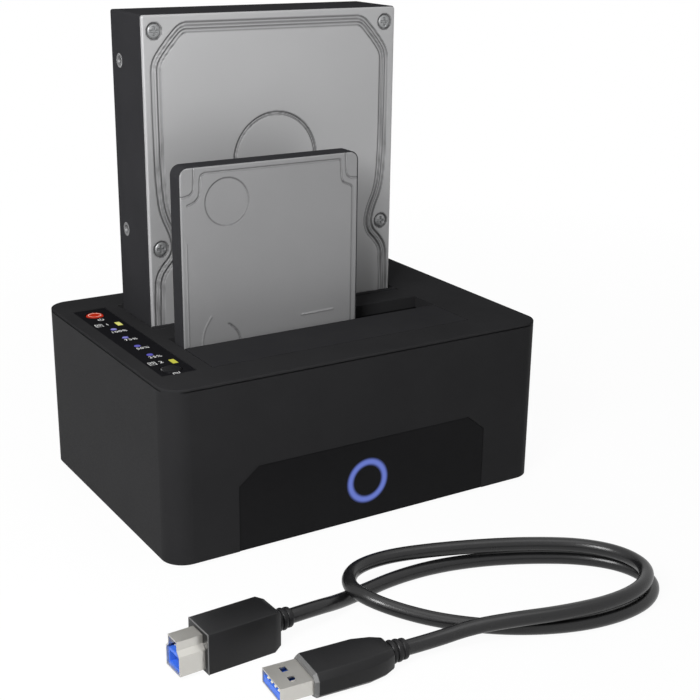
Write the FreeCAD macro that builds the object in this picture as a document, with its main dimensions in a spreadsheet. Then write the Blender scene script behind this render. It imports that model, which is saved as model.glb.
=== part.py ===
import FreeCAD
import Part
import Sketcher
import math
import os
import re

# Drive duplicator: a two bay docking and cloning station with a large drive in the rear bay,
# a small drive in the front bay and its cable lying in front.
# Millimetres. X runs to the right along the front, Y to the back, Z up.
# The origin is on the table, under the middle of the dock.

V = FreeCAD.Vector

SIZES = {
    # Outside of the dock
    "case_width": 150.0,
    "case_depth": 109.0,
    "case_height": 62.0,
    "corner_radius": 8.0,
    "wall": 2.5,
    "foot_height": 1.0,
    "foot_radius": 6.0,
    "foot_sink": 0.6,
    "foot_inset": 12.5,
    "base_thickness": 2.4,
    "rim_height": 0.8,
    "rim_rounding": 0.5,
    "seam_height": 0.5,
    "seam_depth": 0.6,
    "deck_thickness": 2.4,
    "fit_gap": 0.15,
    "move_gap": 0.3,
    # Bays and the chutes that guide the drives
    "bay_width": 104.2,
    "bay_depth": 34.4,
    "bridge_width": 11.2,
    "collar_drop": 1.8,
    "chute_wall": 1.6,
    "chute_floor": 2.0,
    "seat_height": 23.0,
    "rib_width": 3.0,
    "rib_inset": 5.0,
    "rib_drop": 6.0,
    # Spring flaps
    "flap_length": 21.6,
    "flap_thickness": 2.0,
    "flap_side_gap": 0.4,
    "hinge_inset": 2.0,
    "hinge_drop": 1.7,
    "barrel_radius": 1.5,
    "pin_radius": 0.75,
    "pin_gap": 0.05,
    "pin_reach": 2.6,
    "spring_length": 9.0,
    "spring_wire": 0.3,
    "spring_turns": 9.0,
    "spring_turn_share": 0.7,
    # Large drive, 3.5 inch
    "large_width": 101.6,
    "large_thickness": 26.1,
    "large_length": 147.0,
    "large_cover_thickness": 1.2,
    "large_cover_inset": 0.25,
    "large_corner": 0.8,
    "press_depth": 0.4,
    "press_width": 3.2,
    "press_groove": 1.1,
    "press_inset": 3.1,
    "press_corner": 10.4,
    "press_step": 5.8,
    "press_step_below": 8.5,
    "press_step_half": 3.0,
    "press_step_above": 14.5,
    "hub_press_radius": 17.2,
    "hub_press_width": 0.9,
    "hub_press_drop": 52.5,
    "cover_screw_inset": 4.7,
    "cover_screw_top": 5.5,
    "cover_screw_low": 80.6,
    "screw_well_radius": 2.75,
    "screw_head_radius": 2.4,
    "screw_cross_length": 2.6,
    "screw_cross_width": 0.7,
    "screw_shank_radius": 1.2,
    "screw_shank_length": 4.0,
    "side_hole_radius": 1.6,
    "side_hole_depth": 4.0,
    "side_hole_from_back": 6.35,
    "side_hole_first": 28.5,
    "side_hole_second": 70.1,
    "side_hole_third": 130.1,
    "large_board_length": 58.0,
    "large_board_side": 4.0,
    # Small drive, 2.5 inch
    "small_width": 69.85,
    "small_thickness": 7.0,
    "small_length": 100.2,
    "small_cover_thickness": 0.6,
    "small_cover_inset": 0.4,
    "small_corner": 3.5,
    "small_disc_radius": 8.2,
    "small_disc_inset": 17.8,
    "small_disc_drop": 12.8,
    "small_line_width": 0.5,
    "small_line_depth": 0.2,
    "small_line_side": 2.6,
    "small_line_foot": 6.0,
    "small_tab_width": 5.2,
    "small_tab_height": 9.6,
    "small_tab_bevel": 1.8,
    "small_board_length": 34.0,
    "small_board_side": 3.0,
    "small_board_inset": 1.75,
    "small_board_thickness": 0.8,
    # Drive plugs and the upright sockets that they sit on
    "drive_back_gap": 2.9,
    "connector_from_side": 30.12,
    "connector_from_back": 3.5,
    "connector_bay_width": 43.2,
    "connector_bay_thickness": 5.2,
    "connector_bay_depth": 9.0,
    "plug_base_height": 3.0,
    "blade_thickness": 1.0,
    "blade_length": 5.4,
    "signal_blade_width": 10.3,
    "power_blade_width": 20.6,
    "blade_gap": 2.3,
    "socket_width": 41.0,
    "socket_thickness": 4.4,
    "board_inset": 3.5,
    # Front window and light ring
    "window_half_width": 50.3,
    "window_height": 30.6,
    "window_corner_width": 7.5,
    "window_corner_height": 6.0,
    "window_thickness": 1.2,
    "window_sink": 0.25,
    "ring_height": 15.3,
    "ring_outer": 8.4,
    "ring_inner": 5.6,
    "ring_depth": 0.8,
    "ring_opening_margin": 1.0,
    "ring_board_width": 26.0,
    "ring_board_height": 22.0,
    "board_thickness": 1.6,
    # Control strip
    "strip_inset": 5.2,
    "strip_width": 12.6,
    "strip_length": 79.5,
    "strip_depth": 1.0,
    "panel_thickness": 0.7,
    "power_radius": 3.15,
    "power_y": 32.8,
    "clone_radius": 3.5,
    "clone_y": -34.0,
    "button_shift": -0.4,
    "button_drop": 0.1,
    "button_flange": 0.9,
    "button_travel": 0.5,
    "stem_radius": 1.4,
    "plunger_radius": 1.5,
    "plunger_height": 1.3,
    "stem_height": 1.0,
    "switch_side": 6.0,
    "switch_height": 3.4,
    "pipe_radius": 1.1,
    "progress_first_y": 14.2,
    "progress_pitch": 10.5,
    "progress_shift": -0.6,
    "drive_light_width": 1.8,
    "drive_light_length": 4.0,
    "drive_light_shift": 3.5,
    "source_light_y": 19.5,
    "target_light_y": -27.2,
    "light_chip_length": 1.8,
    "light_chip_width": 1.1,
    "light_chip_height": 0.6,
    "control_board_margin": 1.0,
    "control_board_drop": 6.0,
    "control_post_radius": 1.6,
    "control_post_y": 24.0,
    # Main board and what stands on it
    "board_level": 13.0,
    "board_side_gap": 1.5,
    "board_front_gap": 6.0,
    "board_back_gap": 1.0,
    "board_post_side": 18.5,
    "board_post_first": 8.0,
    "board_post_second": 66.0,
    "board_post_radius": 3.0,
    "board_screw_head": 2.6,
    "board_screw_height": 1.6,
    "board_screw_depth": 6.4,
    "chip_side": 10.0,
    "chip_height": 1.4,
    "chip_x": 22.0,
    "capacitor_radius": 3.15,
    "capacitor_height": 8.0,
    "capacitor_pitch": 9.0,
    # Screw posts of the housing
    "post_side": 4.2,
    "post_end": 26.5,
    "post_radius": 3.3,
    "post_height": 12.0,
    "post_web": 3.3,
    "case_screw_head": 2.5,
    "case_screw_head_height": 1.1,
    "driver_slot": 0.65,
    "case_screw_radius": 1.15,
    "case_screw_length": 10.0,
    "thread_gap": 0.05,
    # Rear sockets
    "usb_width": 12.0,
    "usb_height": 13.0,
    "usb_length": 18.0,
    "usb_mouth_width": 9.0,
    "usb_mouth_height": 10.9,
    "usb_mouth_depth": 12.0,
    "usb_tongue_width": 5.6,
    "usb_tongue_height": 3.2,
    "usb_tongue_drop": 2.2,
    "usb_tongue_short": 1.0,
    "jack_width": 9.0,
    "jack_height": 11.0,
    "jack_length": 12.0,
    "jack_nose_radius": 4.2,
    "jack_bore_radius": 3.1,
    "jack_bore_depth": 9.5,
    "jack_pin_radius": 1.05,
    "jack_pin_length": 8.5,
    # Cable and its two plugs
    "cable_diameter": 4.6,
    "relief_length": 6.0,
    "relief_radius": 2.9,
    "relief_ring_radius": 3.5,
    "relief_ring_width": 1.0,
    "relief_ring_start": 0.4,
    "relief_ring_pitch": 1.9,
    "square_turn": 2.0,
    "square_width": 12.0,
    "square_height": 13.0,
    "square_length": 24.5,
    "square_shell_length": 8.0,
    "square_shell_width": 8.4,
    "square_shell_height": 10.4,
    "square_step_width": 5.6,
    "square_step_height": 2.7,
    "square_core_recess": 0.6,
    "square_slot_drop": 2.1,
    "square_slot_stop": 1.0,
    "square_slot_play": 0.4,
    "flat_turn": -4.0,
    "flat_width": 15.0,
    "flat_height": 8.0,
    "flat_length": 26.5,
    "flat_bevel": 1.35,
    "flat_taper_length": 9.0,
    "flat_tail_width": 9.0,
    "flat_shell_length": 10.0,
    "flat_shell_width": 12.0,
    "flat_shell_height": 4.5,
    "shell_sheet": 0.35,
    "flat_core_recess": 0.3,
    "latch_width": 2.4,
    "latch_length": 2.0,
    "latch_pitch": 5.2,
    "latch_from_grip": 5.0,
    "contact_width": 1.0,
    "contact_length": 6.0,
    "contact_pitch": 2.3,
    "contact_from_tip": 1.0,
}

# Places worked out from the sizes
PLACES = {
    "half_width": "case_width / 2",
    "half_depth": "case_depth / 2",
    "inner_half_width": "half_width - wall",
    "inner_half_depth": "half_depth - wall",
    "base_top": "foot_height + base_thickness",
    "shell_top": "case_height - rim_height",
    "deck_bottom": "case_height - deck_thickness",
    "collar_bottom": "deck_bottom - collar_drop",
    "half_bay": "bay_width / 2",
    "source_front": "bridge_width / 2",
    "source_back": "bridge_width / 2 + bay_depth",
    "target_back": "-bridge_width / 2",
    "target_front": "-bridge_width / 2 - bay_depth",
    "chute_floor_top": "seat_height - move_gap",
    "chute_bottom": "seat_height - move_gap - chute_floor",
    "hinge_level": "case_height - hinge_drop",
    "flap_reach": "flap_length - hinge_inset",
    "pin_bore": "pin_radius + pin_gap",
    "spring_outer": "pin_bore + 1.5 * spring_wire",
    "drive_left": "-large_width / 2",
    "source_drive_back": "source_back - drive_back_gap",
    "target_drive_back": "target_back - drive_back_gap",
    "source_drive_front": "source_drive_back - large_thickness",
    "large_right": "drive_left + large_width",
    "large_top": "seat_height + large_length",
    "small_right": "drive_left + small_width",
    "small_top": "seat_height + small_length",
    "target_drive_front": "target_drive_back - small_thickness",
    "connector_x": "drive_left + connector_from_side",
    "window_front": "-half_depth + window_sink",
    "window_back": "window_front + window_thickness",
    "strip_left": "-half_width + strip_inset",
    "strip_right": "strip_left + strip_width",
    "strip_centre": "strip_left + strip_width / 2",
    "strip_floor": "case_height - strip_depth",
    "panel_top": "strip_floor + panel_thickness",
    "button_x": "strip_centre + button_shift",
    "progress_x": "strip_centre + progress_shift",
    "drive_light_x": "strip_centre + drive_light_shift",
    "control_board_top": "deck_bottom - control_board_drop",
    "control_board_bottom": "control_board_top - board_thickness",
    "flange_top": "deck_bottom - move_gap",
    "flange_bottom": "flange_top - button_flange",
    "plunger_top": "flange_bottom - stem_height",
    "plunger_bottom": "plunger_top - plunger_height",
    "switch_top": "control_board_top + switch_height",
    "board_top": "board_level + board_thickness",
    "chute_side": "half_bay + chute_wall + 2 * move_gap",
    "post_x": "inner_half_width - post_side",
    "post_y": "half_depth - post_end",
    "board_half_width": "post_x - post_radius - board_side_gap",
    "board_front": "-inner_half_depth + board_front_gap",
    "board_back": "inner_half_depth - board_back_gap",
    "board_post_x": "board_half_width - board_post_side",
    "board_post_front": "board_front + board_post_first",
    "board_post_back": "board_front + board_post_second",
    "capacitor_x": "-(chute_side + capacitor_radius)",
    "usb_x": "chute_side + usb_width / 2",
    "jack_x": "-(chute_side + jack_width / 2)",
    "usb_back": "half_depth - move_gap",
    "usb_level": "board_top + usb_height / 2",
    "jack_level": "board_top + jack_height / 2",
    "square_back": "-relief_length",
    "square_front": "-relief_length - square_length",
    "square_tip": "square_front - square_shell_length",
    "flat_back": "-relief_length",
    "flat_front": "-relief_length - flat_length",
    "flat_tip": "flat_front - flat_shell_length",
    "core_gap": "shell_sheet + thread_gap",
}

# The share of the shorter run beside a corner of the cable that its bend takes up
BEND_SHARE = 0.45

# The cable's route, from the square plug round its loop to the flat plug
CABLE_ROUTE = [
    V(-61.0, -107.35, 6.5),
    V(-51.5, -107.02, 6.5),
    V(-42.5, -104.0, 4.2),
    V(-31.0, -100.0, 2.5),
    V(-17.0, -97.6, 2.5),
    V(-1.5, -98.0, 2.5),
    V(14.5, -102.0, 2.5),
    V(30.0, -109.0, 2.5),
    V(44.0, -118.0, 2.5),
    V(52.5, -129.0, 2.5),
    V(53.0, -141.0, 2.5),
    V(44.0, -149.5, 2.5),
    V(29.5, -152.0, 2.5),
    V(12.5, -149.2, 2.5),
    V(-4.5, -141.0, 2.5),
    V(-18.5, -130.0, 3.0),
    V(-28.5, -121.8, 5.0),
    V(-37.0, -113.0, 7.8),
    V(-38.5, -102.5, 8.3),
    V(-31.0, -94.5, 8.2),
    V(-18.0, -92.8, 8.0),
    V(-3.0, -96.5, 8.0),
    V(14.0, -102.8, 8.0),
    V(30.0, -110.5, 8.0),
    V(43.0, -119.5, 8.0),
    V(50.0, -130.5, 8.0),
    V(49.5, -142.0, 8.0),
    V(40.0, -149.8, 8.0),
    V(25.5, -151.8, 8.0),
    V(8.5, -149.2, 8.0),
    V(-7.0, -144.2, 7.8),
    V(-18.5, -139.2, 6.2),
    V(-28.92, -136.6, 4.0),
    V(-39.0, -135.9, 4.0),
]

doc = FreeCAD.newDocument("drive_duplicator")
sheet = doc.addObject("Spreadsheet::Sheet", "sizes")
for row, (alias, value) in enumerate(SIZES.items(), start=1):
    sheet.set(f"A{row}", alias)
    sheet.set(f"B{row}", str(value))
    sheet.setAlias(f"B{row}", alias)
doc.recompute()

NODES = []


def size(alias):
    """Reads one driving dimension back from the sheet."""
    return float(sheet.get(alias))


def formula(text):
    """Turns the names of sizes and places in a formula into cells of the sheet."""

    def cell(match):
        name = match.group(0)
        if name in PLACES:
            return "(" + formula(PLACES[name]) + ")"
        if name in SIZES:
            return "sizes." + name
        return name

    return re.sub(r"[a-z][a-z_0-9]*", cell, text)


def rect(x0, y0, x1, y1):
    """The corners of a rectangle, as formulas."""
    return [(x0, y0), (x1, y0), (x1, y1), (x0, y1)]


def around(x, y, width, height):
    """A rectangle about a centre."""
    return rect(
        f"{x} - ({width}) / 2",
        f"{y} - ({height}) / 2",
        f"{x} + ({width}) / 2",
        f"{y} + ({height}) / 2",
    )


def draw_polygon(sketch, points):
    """Draws a closed outline whose every corner is held by two dimensions."""
    first = sketch.GeometryCount
    count = len(points)
    ring = []
    for index in range(count):
        angle = 2 * math.pi * index / count
        ring.append(V(math.cos(angle), math.sin(angle), 0))
    lines = [Part.LineSegment(ring[i], ring[(i + 1) % count]) for i in range(count)]
    sketch.addGeometry(lines, False)
    rules = []
    for i in range(count):
        rules.append(Sketcher.Constraint("Coincident", first + i, 2, first + (i + 1) % count, 1))
    for i in range(count):
        rules.append(Sketcher.Constraint("DistanceX", -1, 1, first + i, 1, ring[i].x))
        rules.append(Sketcher.Constraint("DistanceY", -1, 1, first + i, 1, ring[i].y))
    start = sketch.ConstraintCount + count
    sketch.addConstraint(rules)
    for i, (x, y) in enumerate(points):
        sketch.setExpression(f"Constraints[{start + 2 * i}]", formula(x))
        sketch.setExpression(f"Constraints[{start + 2 * i + 1}]", formula(y))


def draw_circle(sketch, x, y, radius):
    """Draws a circle held by its centre and radius."""
    index = sketch.addGeometry(Part.Circle(V(0, 0, 0), V(0, 0, 1), 1), False)
    start = sketch.ConstraintCount
    sketch.addConstraint([
        Sketcher.Constraint("DistanceX", -1, 1, index, 3, 0.0),
        Sketcher.Constraint("DistanceY", -1, 1, index, 3, 0.0),
        Sketcher.Constraint("Radius", index, 1.0),
    ])
    for step, text in enumerate((x, y, radius)):
        sketch.setExpression(f"Constraints[{start + step}]", formula(text))


# Each axis: the sketch plane across it and the sign from the plane's normal to the axis
PLANES = {"x": ("YZ_Plane", 1), "y": ("XZ_Plane", -1), "z": ("XY_Plane", 1)}


def sketch_across(body, axis, level, shapes):
    """A sketch across an axis at a level. Circles are tuples, outlines are lists of corners."""
    role, sign = PLANES[axis]
    plane = next(item for item in body.Origin.OriginFeatures if item.Role == role)
    sketch = body.newObject("Sketcher::SketchObject", body.Label + "_sketch")
    sketch.AttachmentSupport = [(plane, "")]
    sketch.MapMode = "FlatFace"
    sketch.setExpression("AttachmentOffset.Base.z", formula(level if sign > 0 else f"-({level})"))
    for shape in shapes:
        if isinstance(shape, tuple):
            draw_circle(sketch, *shape)
        else:
            draw_polygon(sketch, shape)
    return sketch


def extrude(body, kind, sketch, low, high):
    feature = body.newObject("PartDesign::" + kind, body.Label + "_" + kind.lower())
    feature.Profile = sketch
    feature.setExpression("Length", formula(f"({high}) - ({low})"))
    sketch.Visibility = False
    return feature


def grow(body, axis, low, high, *shapes):
    """Adds material between two levels along an axis."""
    level = high if PLANES[axis][1] < 0 else low
    return extrude(body, "Pad", sketch_across(body, axis, level, shapes), low, high)


def cut(body, axis, low, high, *shapes):
    """Takes material away between two levels along an axis, and checks that some has gone."""
    doc.recompute()
    before = body.Shape.Volume
    level = low if PLANES[axis][1] < 0 else high
    pocket = extrude(body, "Pocket", sketch_across(body, axis, level, shapes), low, high)
    doc.recompute()
    if body.Shape.Volume >= before - 1e-6:
        raise ValueError(f"A pocket in {body.Label} along {axis} from {low} to {high} takes nothing away")
    return pocket


def new_body(label):
    body = doc.addObject("PartDesign::Body", label)
    body.AllowCompound = True
    NODES.append(body)
    return body


def edges_where(shape, test):
    """Names the edges whose middle and direction pass a test."""
    names = []
    for index, edge in enumerate(shape.Edges, start=1):
        low, high = edge.ParameterRange
        middle = edge.valueAt((low + high) / 2)
        straight = edge.Curve.TypeId == "Part::GeomLine"
        direction = edge.tangentAt(low) if straight else V(0, 0, 0)
        if test(middle, direction):
            names.append(f"Edge{index}")
    return names


def soften(body, kind, amount, test):
    """Rounds or bevels the edges that pass a test."""
    doc.recompute()
    names = edges_where(body.Shape, test)
    if not names:
        raise ValueError(f"No edge of {body.Label} to soften")
    base = body.Tip
    feature = body.newObject("PartDesign::" + kind, body.Label + "_" + kind.lower())
    feature.Base = (base, names)
    feature.setExpression("Radius" if kind == "Fillet" else "Size", formula(amount))
    body.Tip = feature
    return feature


def along(axis):
    """A test for straight edges that run along an axis."""
    index = "xyz".index(axis)
    return lambda middle, direction: abs(direction[index]) > 0.999


def along_above(axis, level):
    """A test for straight edges that run along an axis, higher up than a level."""
    index = "xyz".index(axis)
    return lambda middle, direction: abs(direction[index]) > 0.999 and middle.z > level


def at_level(axis, level):
    """A test for edges whose middle lies at a level."""
    index = "xyz".index(axis)
    return lambda middle, direction: abs(middle[index] - level) < 1e-3


def place(body, x, y, z, turn_axis, turn):
    """Puts a piece that was drawn about its own origin where it belongs."""
    for coordinate, text in zip("xyz", (x, y, z)):
        body.setExpression(f".Placement.Base.{coordinate}", formula(text))
    body.Placement.Rotation = FreeCAD.Rotation(turn_axis, 1)
    body.setExpression(".Placement.Rotation.Angle", formula(turn))


def rectangle_outline(inset="0"):
    """The dock's outline seen from above, set in by an amount."""
    return rect(
        f"-half_width + ({inset})", f"-half_depth + ({inset})",
        f"half_width - ({inset})", f"half_depth - ({inset})",
    )


# Housing

def housing_shell():
    """Four walls with a groove under the rim, a window recess in front and sockets behind."""
    body = new_body("housing_shell")
    grow(body, "z", "foot_height", "shell_top", rectangle_outline())
    soften(body, "Fillet", "corner_radius", along("z"))
    cut(body, "z", "foot_height", "shell_top", rectangle_outline("wall"))
    outer = size("case_width") / 2 - size("wall") - 0.01
    depth = size("case_depth") / 2 - size("wall") - 0.01
    soften(
        body, "Fillet", "corner_radius - wall",
        lambda middle, direction: abs(direction.z) > 0.999 and abs(middle.x) > outer and abs(middle.y) > depth
        and abs(middle.x) < outer + 0.1 and abs(middle.y) < depth + 0.1,
    )
    cut_seam(body)
    window = window_outline("0")
    cut(body, "y", "-half_depth", "window_back", window)
    cut(body, "y", "-half_depth", "-inner_half_depth",
        ("0", "ring_height", "ring_outer + ring_opening_margin"))
    cut(body, "y", "inner_half_depth", "half_depth",
        around("usb_x", "usb_level", "usb_width + 2 * fit_gap", "usb_height + 2 * fit_gap"))
    cut(body, "y", "inner_half_depth", "half_depth",
        ("jack_x", "jack_level", "jack_nose_radius + fit_gap"))
    for side in ("", "-"):
        for end in ("", "-"):
            low = f"{end}post_y - post_web / 2"
            high = f"{end}post_y + post_web / 2"
            web = rect(f"{side}post_x", low, f"{side}(inner_half_width + wall / 2)", high)
            grow(body, "z", "base_top", "base_top + post_height", web)
    for circle in screw_circles("post_radius"):
        grow(body, "z", "base_top", "base_top + post_height", circle)
    cut(body, "z", "base_top", "base_top + case_screw_length",
        *screw_circles("case_screw_radius + thread_gap"))
    return body


def cut_seam(body):
    """The dark groove that runs round the dock just under the rim."""
    doc.recompute()
    before = body.Shape.Volume
    outside = rectangle_outline("-seam_depth")
    sketch = sketch_across(body, "z", "shell_top", [outside])
    draw_polygon(sketch, rectangle_outline("seam_depth"))
    extrude(body, "Pocket", sketch, "shell_top - seam_height", "shell_top")
    doc.recompute()
    if body.Shape.Volume >= before:
        raise ValueError("The seam takes nothing away")


def screw_circles(radius):
    """One circle about each of the four housing screws."""
    return [(f"{side}post_x", f"{end}post_y", radius) for side in ("", "-") for end in ("", "-")]


def foot_circles(radius):
    """One circle about each of the four feet."""
    return [
        (f"{side}(half_width - foot_inset)", f"{end}(half_depth - foot_inset)", radius)
        for side in ("", "-") for end in ("", "-")
    ]


def window_outline(gap):
    """The front window: bevelled upper corners, open at the bottom edge."""
    return [
        (f"-window_half_width + {gap}", "foot_height"),
        (f"window_half_width - {gap}", "foot_height"),
        (f"window_half_width - {gap}", f"window_height - window_corner_height - {gap} / 2"),
        (f"window_half_width - window_corner_width - {gap} / 2", f"window_height - {gap}"),
        (f"-window_half_width + window_corner_width + {gap} / 2", f"window_height - {gap}"),
        (f"-window_half_width + {gap}", f"window_height - window_corner_height - {gap} / 2"),
    ]


def base_plate():
    """The bottom, set inside the walls, with posts for the main board."""
    body = new_body("base_plate")
    grow(body, "z", "foot_height", "base_top", rectangle_outline("wall + fit_gap"))
    soften(body, "Fillet", "corner_radius - wall", along("z"))
    grow(body, "z", "base_top", "board_level", *board_posts("board_post_radius"))
    cut(body, "z", "foot_height", "foot_height + foot_sink", *foot_circles("foot_radius + fit_gap"))
    cut(body, "z", "foot_height", "foot_height + case_screw_head_height + fit_gap",
        *screw_circles("case_screw_head + fit_gap"))
    cut(body, "z", "foot_height", "base_top", *screw_circles("case_screw_radius + fit_gap"))
    cut(body, "z", "board_level - board_screw_depth", "board_level",
        *board_posts("case_screw_radius + thread_gap"))
    return body


def board_posts(radius):
    """One circle about each post of the main board."""
    return [
        (f"{side}board_post_x", end, radius)
        for side in ("", "-") for end in ("board_post_front", "board_post_back")
    ]


def rubber_feet():
    body = new_body("rubber_feet")
    grow(body, "z", "0", "foot_height + foot_sink", *foot_circles("foot_radius"))
    soften(body, "Fillet", "foot_height / 3", at_level("z", 0))
    return body


def case_screws():
    body = new_body("case_screws")
    head_top = "foot_height + case_screw_head_height + fit_gap"
    grow(body, "z", "foot_height + fit_gap", head_top, *screw_circles("case_screw_head"))
    grow(body, "z", head_top, "base_top + case_screw_length - move_gap", *screw_circles("case_screw_radius"))
    cut(body, "z", "foot_height + fit_gap", "foot_height + case_screw_head_height",
        *[around(x, y, "case_screw_head", "driver_slot") for x, y, _ in screw_circles("0")])
    return body


def top_cover():
    """The rim, the deck, the collars round both bays and the recess of the control strip."""
    body = new_body("top_cover")
    grow(body, "z", "shell_top", "case_height", rectangle_outline())
    soften(body, "Fillet", "corner_radius", along("z"))
    soften(body, "Fillet", "rim_rounding", at_level("z", size("case_height")))
    deck_top = size("case_height") - size("rim_height")
    grow(body, "z", "deck_bottom", "shell_top", rectangle_outline("wall + fit_gap"))
    soften(
        body, "Fillet", "corner_radius - wall",
        lambda middle, direction: abs(direction.z) > 0.999 and middle.z < deck_top,
    )
    bays = (("source_front", "source_back"), ("target_front", "target_back"))
    for front, back in bays:
        grow(body, "z", "collar_bottom", "deck_bottom", bay_outline(front, back, "chute_wall"))
    for front, back in bays:
        cut(body, "z", "collar_bottom", "case_height", bay_outline(front, back, "0"))
        for side in ("-half_bay - pin_reach", "half_bay"):
            cut(body, "x", side, f"{side} + pin_reach", (f"{front} + hinge_inset", "hinge_level", "pin_bore"))
    cut(body, "z", "strip_floor", "case_height",
        rect("strip_left", "-strip_length / 2", "strip_right", "strip_length / 2"))
    cut(body, "z", "deck_bottom", "strip_floor", *panel_openings())
    grow(body, "z", "control_board_top", "deck_bottom", *control_posts("control_post_radius"))
    return body


def bay_outline(front, back, wall):
    """A bay's opening seen from above, with a wall round it."""
    return rect(f"-half_bay - {wall}", f"{front} - {wall}", f"half_bay + {wall}", f"{back} + {wall}")


def control_posts(radius):
    """Two posts that carry the control board."""
    return [
        (f"strip_left + control_post_radius", f"{end}control_post_y", radius) for end in ("", "-")
    ]


def progress_lights(radius):
    """One circle for each of the four progress lights."""
    return [("progress_x", f"progress_first_y - {index} * progress_pitch", radius) for index in range(4)]


def panel_openings():
    """Openings for the two buttons and the six lights."""
    shapes = [
        ("button_x", "power_y", "power_radius + move_gap"),
        ("button_x", "clone_y", "clone_radius + move_gap"),
    ]
    shapes += progress_lights("pipe_radius + fit_gap")
    for level in ("source_light_y", "target_light_y"):
        shapes.append(around("drive_light_x", level,
                             "drive_light_width + 2 * fit_gap", "drive_light_length + 2 * fit_gap"))
    return shapes


def control_panel():
    body = new_body("control_panel")
    grow(body, "z", "strip_floor", "panel_top",
         around("strip_centre", "0", "strip_width - 2 * fit_gap", "strip_length - 2 * fit_gap"))
    cut(body, "z", "strip_floor", "panel_top", *panel_openings())
    return body


def button(label, level, radius):
    """A round cap with a flange under the deck and a stem down to the switch."""
    body = new_body(label)
    grow(body, "z", "flange_bottom", "flange_top", ("button_x", level, f"{radius} + button_flange"))
    grow(body, "z", "flange_top", "case_height - button_drop", ("button_x", level, radius))
    soften(body, "Fillet", "rim_rounding", at_level("z", size("case_height") - size("button_drop")))
    grow(body, "z", "plunger_top", "flange_bottom", ("button_x", level, "stem_radius"))
    return body


def plunger(label, level):
    body = new_body(label)
    grow(body, "z", "plunger_bottom", "plunger_top", ("button_x", level, "plunger_radius"))
    return body


def push_switch(label, level):
    """The fixed housing of a push switch, with the well that its plunger sinks into."""
    body = new_body(label)
    grow(body, "z", "control_board_top", "switch_top",
         around("button_x", level, "switch_side", "switch_side"))
    soften(body, "Chamfer", "rim_rounding", along("z"))
    cut(body, "z", "plunger_bottom - button_travel - move_gap", "switch_top",
        ("button_x", level, "plunger_radius + move_gap"))
    return body


def progress_light_pipes():
    body = new_body("progress_light_pipes")
    grow(body, "z", "control_board_top + light_chip_height", "panel_top", *progress_lights("pipe_radius"))
    return body


def drive_light_pipe(label, level):
    body = new_body(label)
    grow(body, "z", "control_board_top + light_chip_height", "panel_top",
         around("drive_light_x", level, "drive_light_width", "drive_light_length"))
    return body


def status_lights():
    """The light chips under the six light pipes."""
    body = new_body("status_lights")
    shapes = [around(x, y, "light_chip_length", "light_chip_width") for x, y, _ in progress_lights("0")]
    for level in ("source_light_y", "target_light_y"):
        shapes.append(around("drive_light_x", level, "light_chip_length", "light_chip_width"))
    grow(body, "z", "control_board_top", "control_board_top + light_chip_height", *shapes)
    return body


def control_board():
    body = new_body("control_board")
    width = "strip_width + 2 * control_board_margin"
    length = "strip_length - 2 * control_board_margin"
    grow(body, "z", "control_board_bottom", "control_board_top", around("strip_centre", "0", width, length))
    soften(body, "Chamfer", "board_thickness / 2", along("z"))
    return body


# Flaps

def flap(label, front, lean):
    """A spring flap drawn about its hinge axis and then turned about it."""
    body = new_body(label)
    left = "-half_bay + flap_side_gap"
    right = "half_bay - flap_side_gap"
    leaf = rect("-hinge_inset + move_gap", "hinge_drop - flap_thickness", "flap_reach", "hinge_drop")
    grow(body, "x", left, right, leaf)
    grow(body, "x", left, right, ("0", "0", "barrel_radius"))
    cut(body, "x", left, right, ("0", "0", "pin_bore"))
    cut(body, "x", "-spring_length / 2 - move_gap", "spring_length / 2 + move_gap",
        ("0", "0", "spring_outer + move_gap"))
    place(body, "0", f"{front} + hinge_inset", "hinge_level", V(1, 0, 0), f"-({lean})")
    return body


def hinge_pin(label, front):
    pin = doc.addObject("Part::Cylinder", label)
    pin.Placement.Rotation = FreeCAD.Rotation(V(0, 1, 0), 90)
    pin.setExpression("Radius", formula("pin_radius"))
    pin.setExpression("Height", formula("bay_width + 2 * pin_reach - 2 * pin_gap"))
    pin.setExpression(".Placement.Base.x", formula("-half_bay - pin_reach + pin_gap"))
    pin.setExpression(".Placement.Base.y", formula(f"{front} + hinge_inset"))
    pin.setExpression(".Placement.Base.z", formula("hinge_level"))
    NODES.append(pin)
    return pin


def flap_spring(label, front):
    """A closely wound torsion spring round the hinge pin, one ring for each turn."""
    body = new_body(label)
    turns = int(size("spring_turns"))
    pitch = f"spring_length / {turns}"
    grow(body, "x", "-spring_length / 2", "spring_length / 2", ("0", "0", "pin_bore + spring_wire"))
    for index in range(turns):
        start = f"-spring_length / 2 + {index} * {pitch}"
        grow(body, "x", start, f"{start} + {pitch} * spring_turn_share", ("0", "0", "spring_outer"))
    cut(body, "x", "-spring_length / 2", "spring_length / 2", ("0", "0", "pin_bore"))
    place(body, "0", f"{front} + hinge_inset", "hinge_level", V(1, 0, 0), "0")
    return body


# Chutes and sockets

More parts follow.
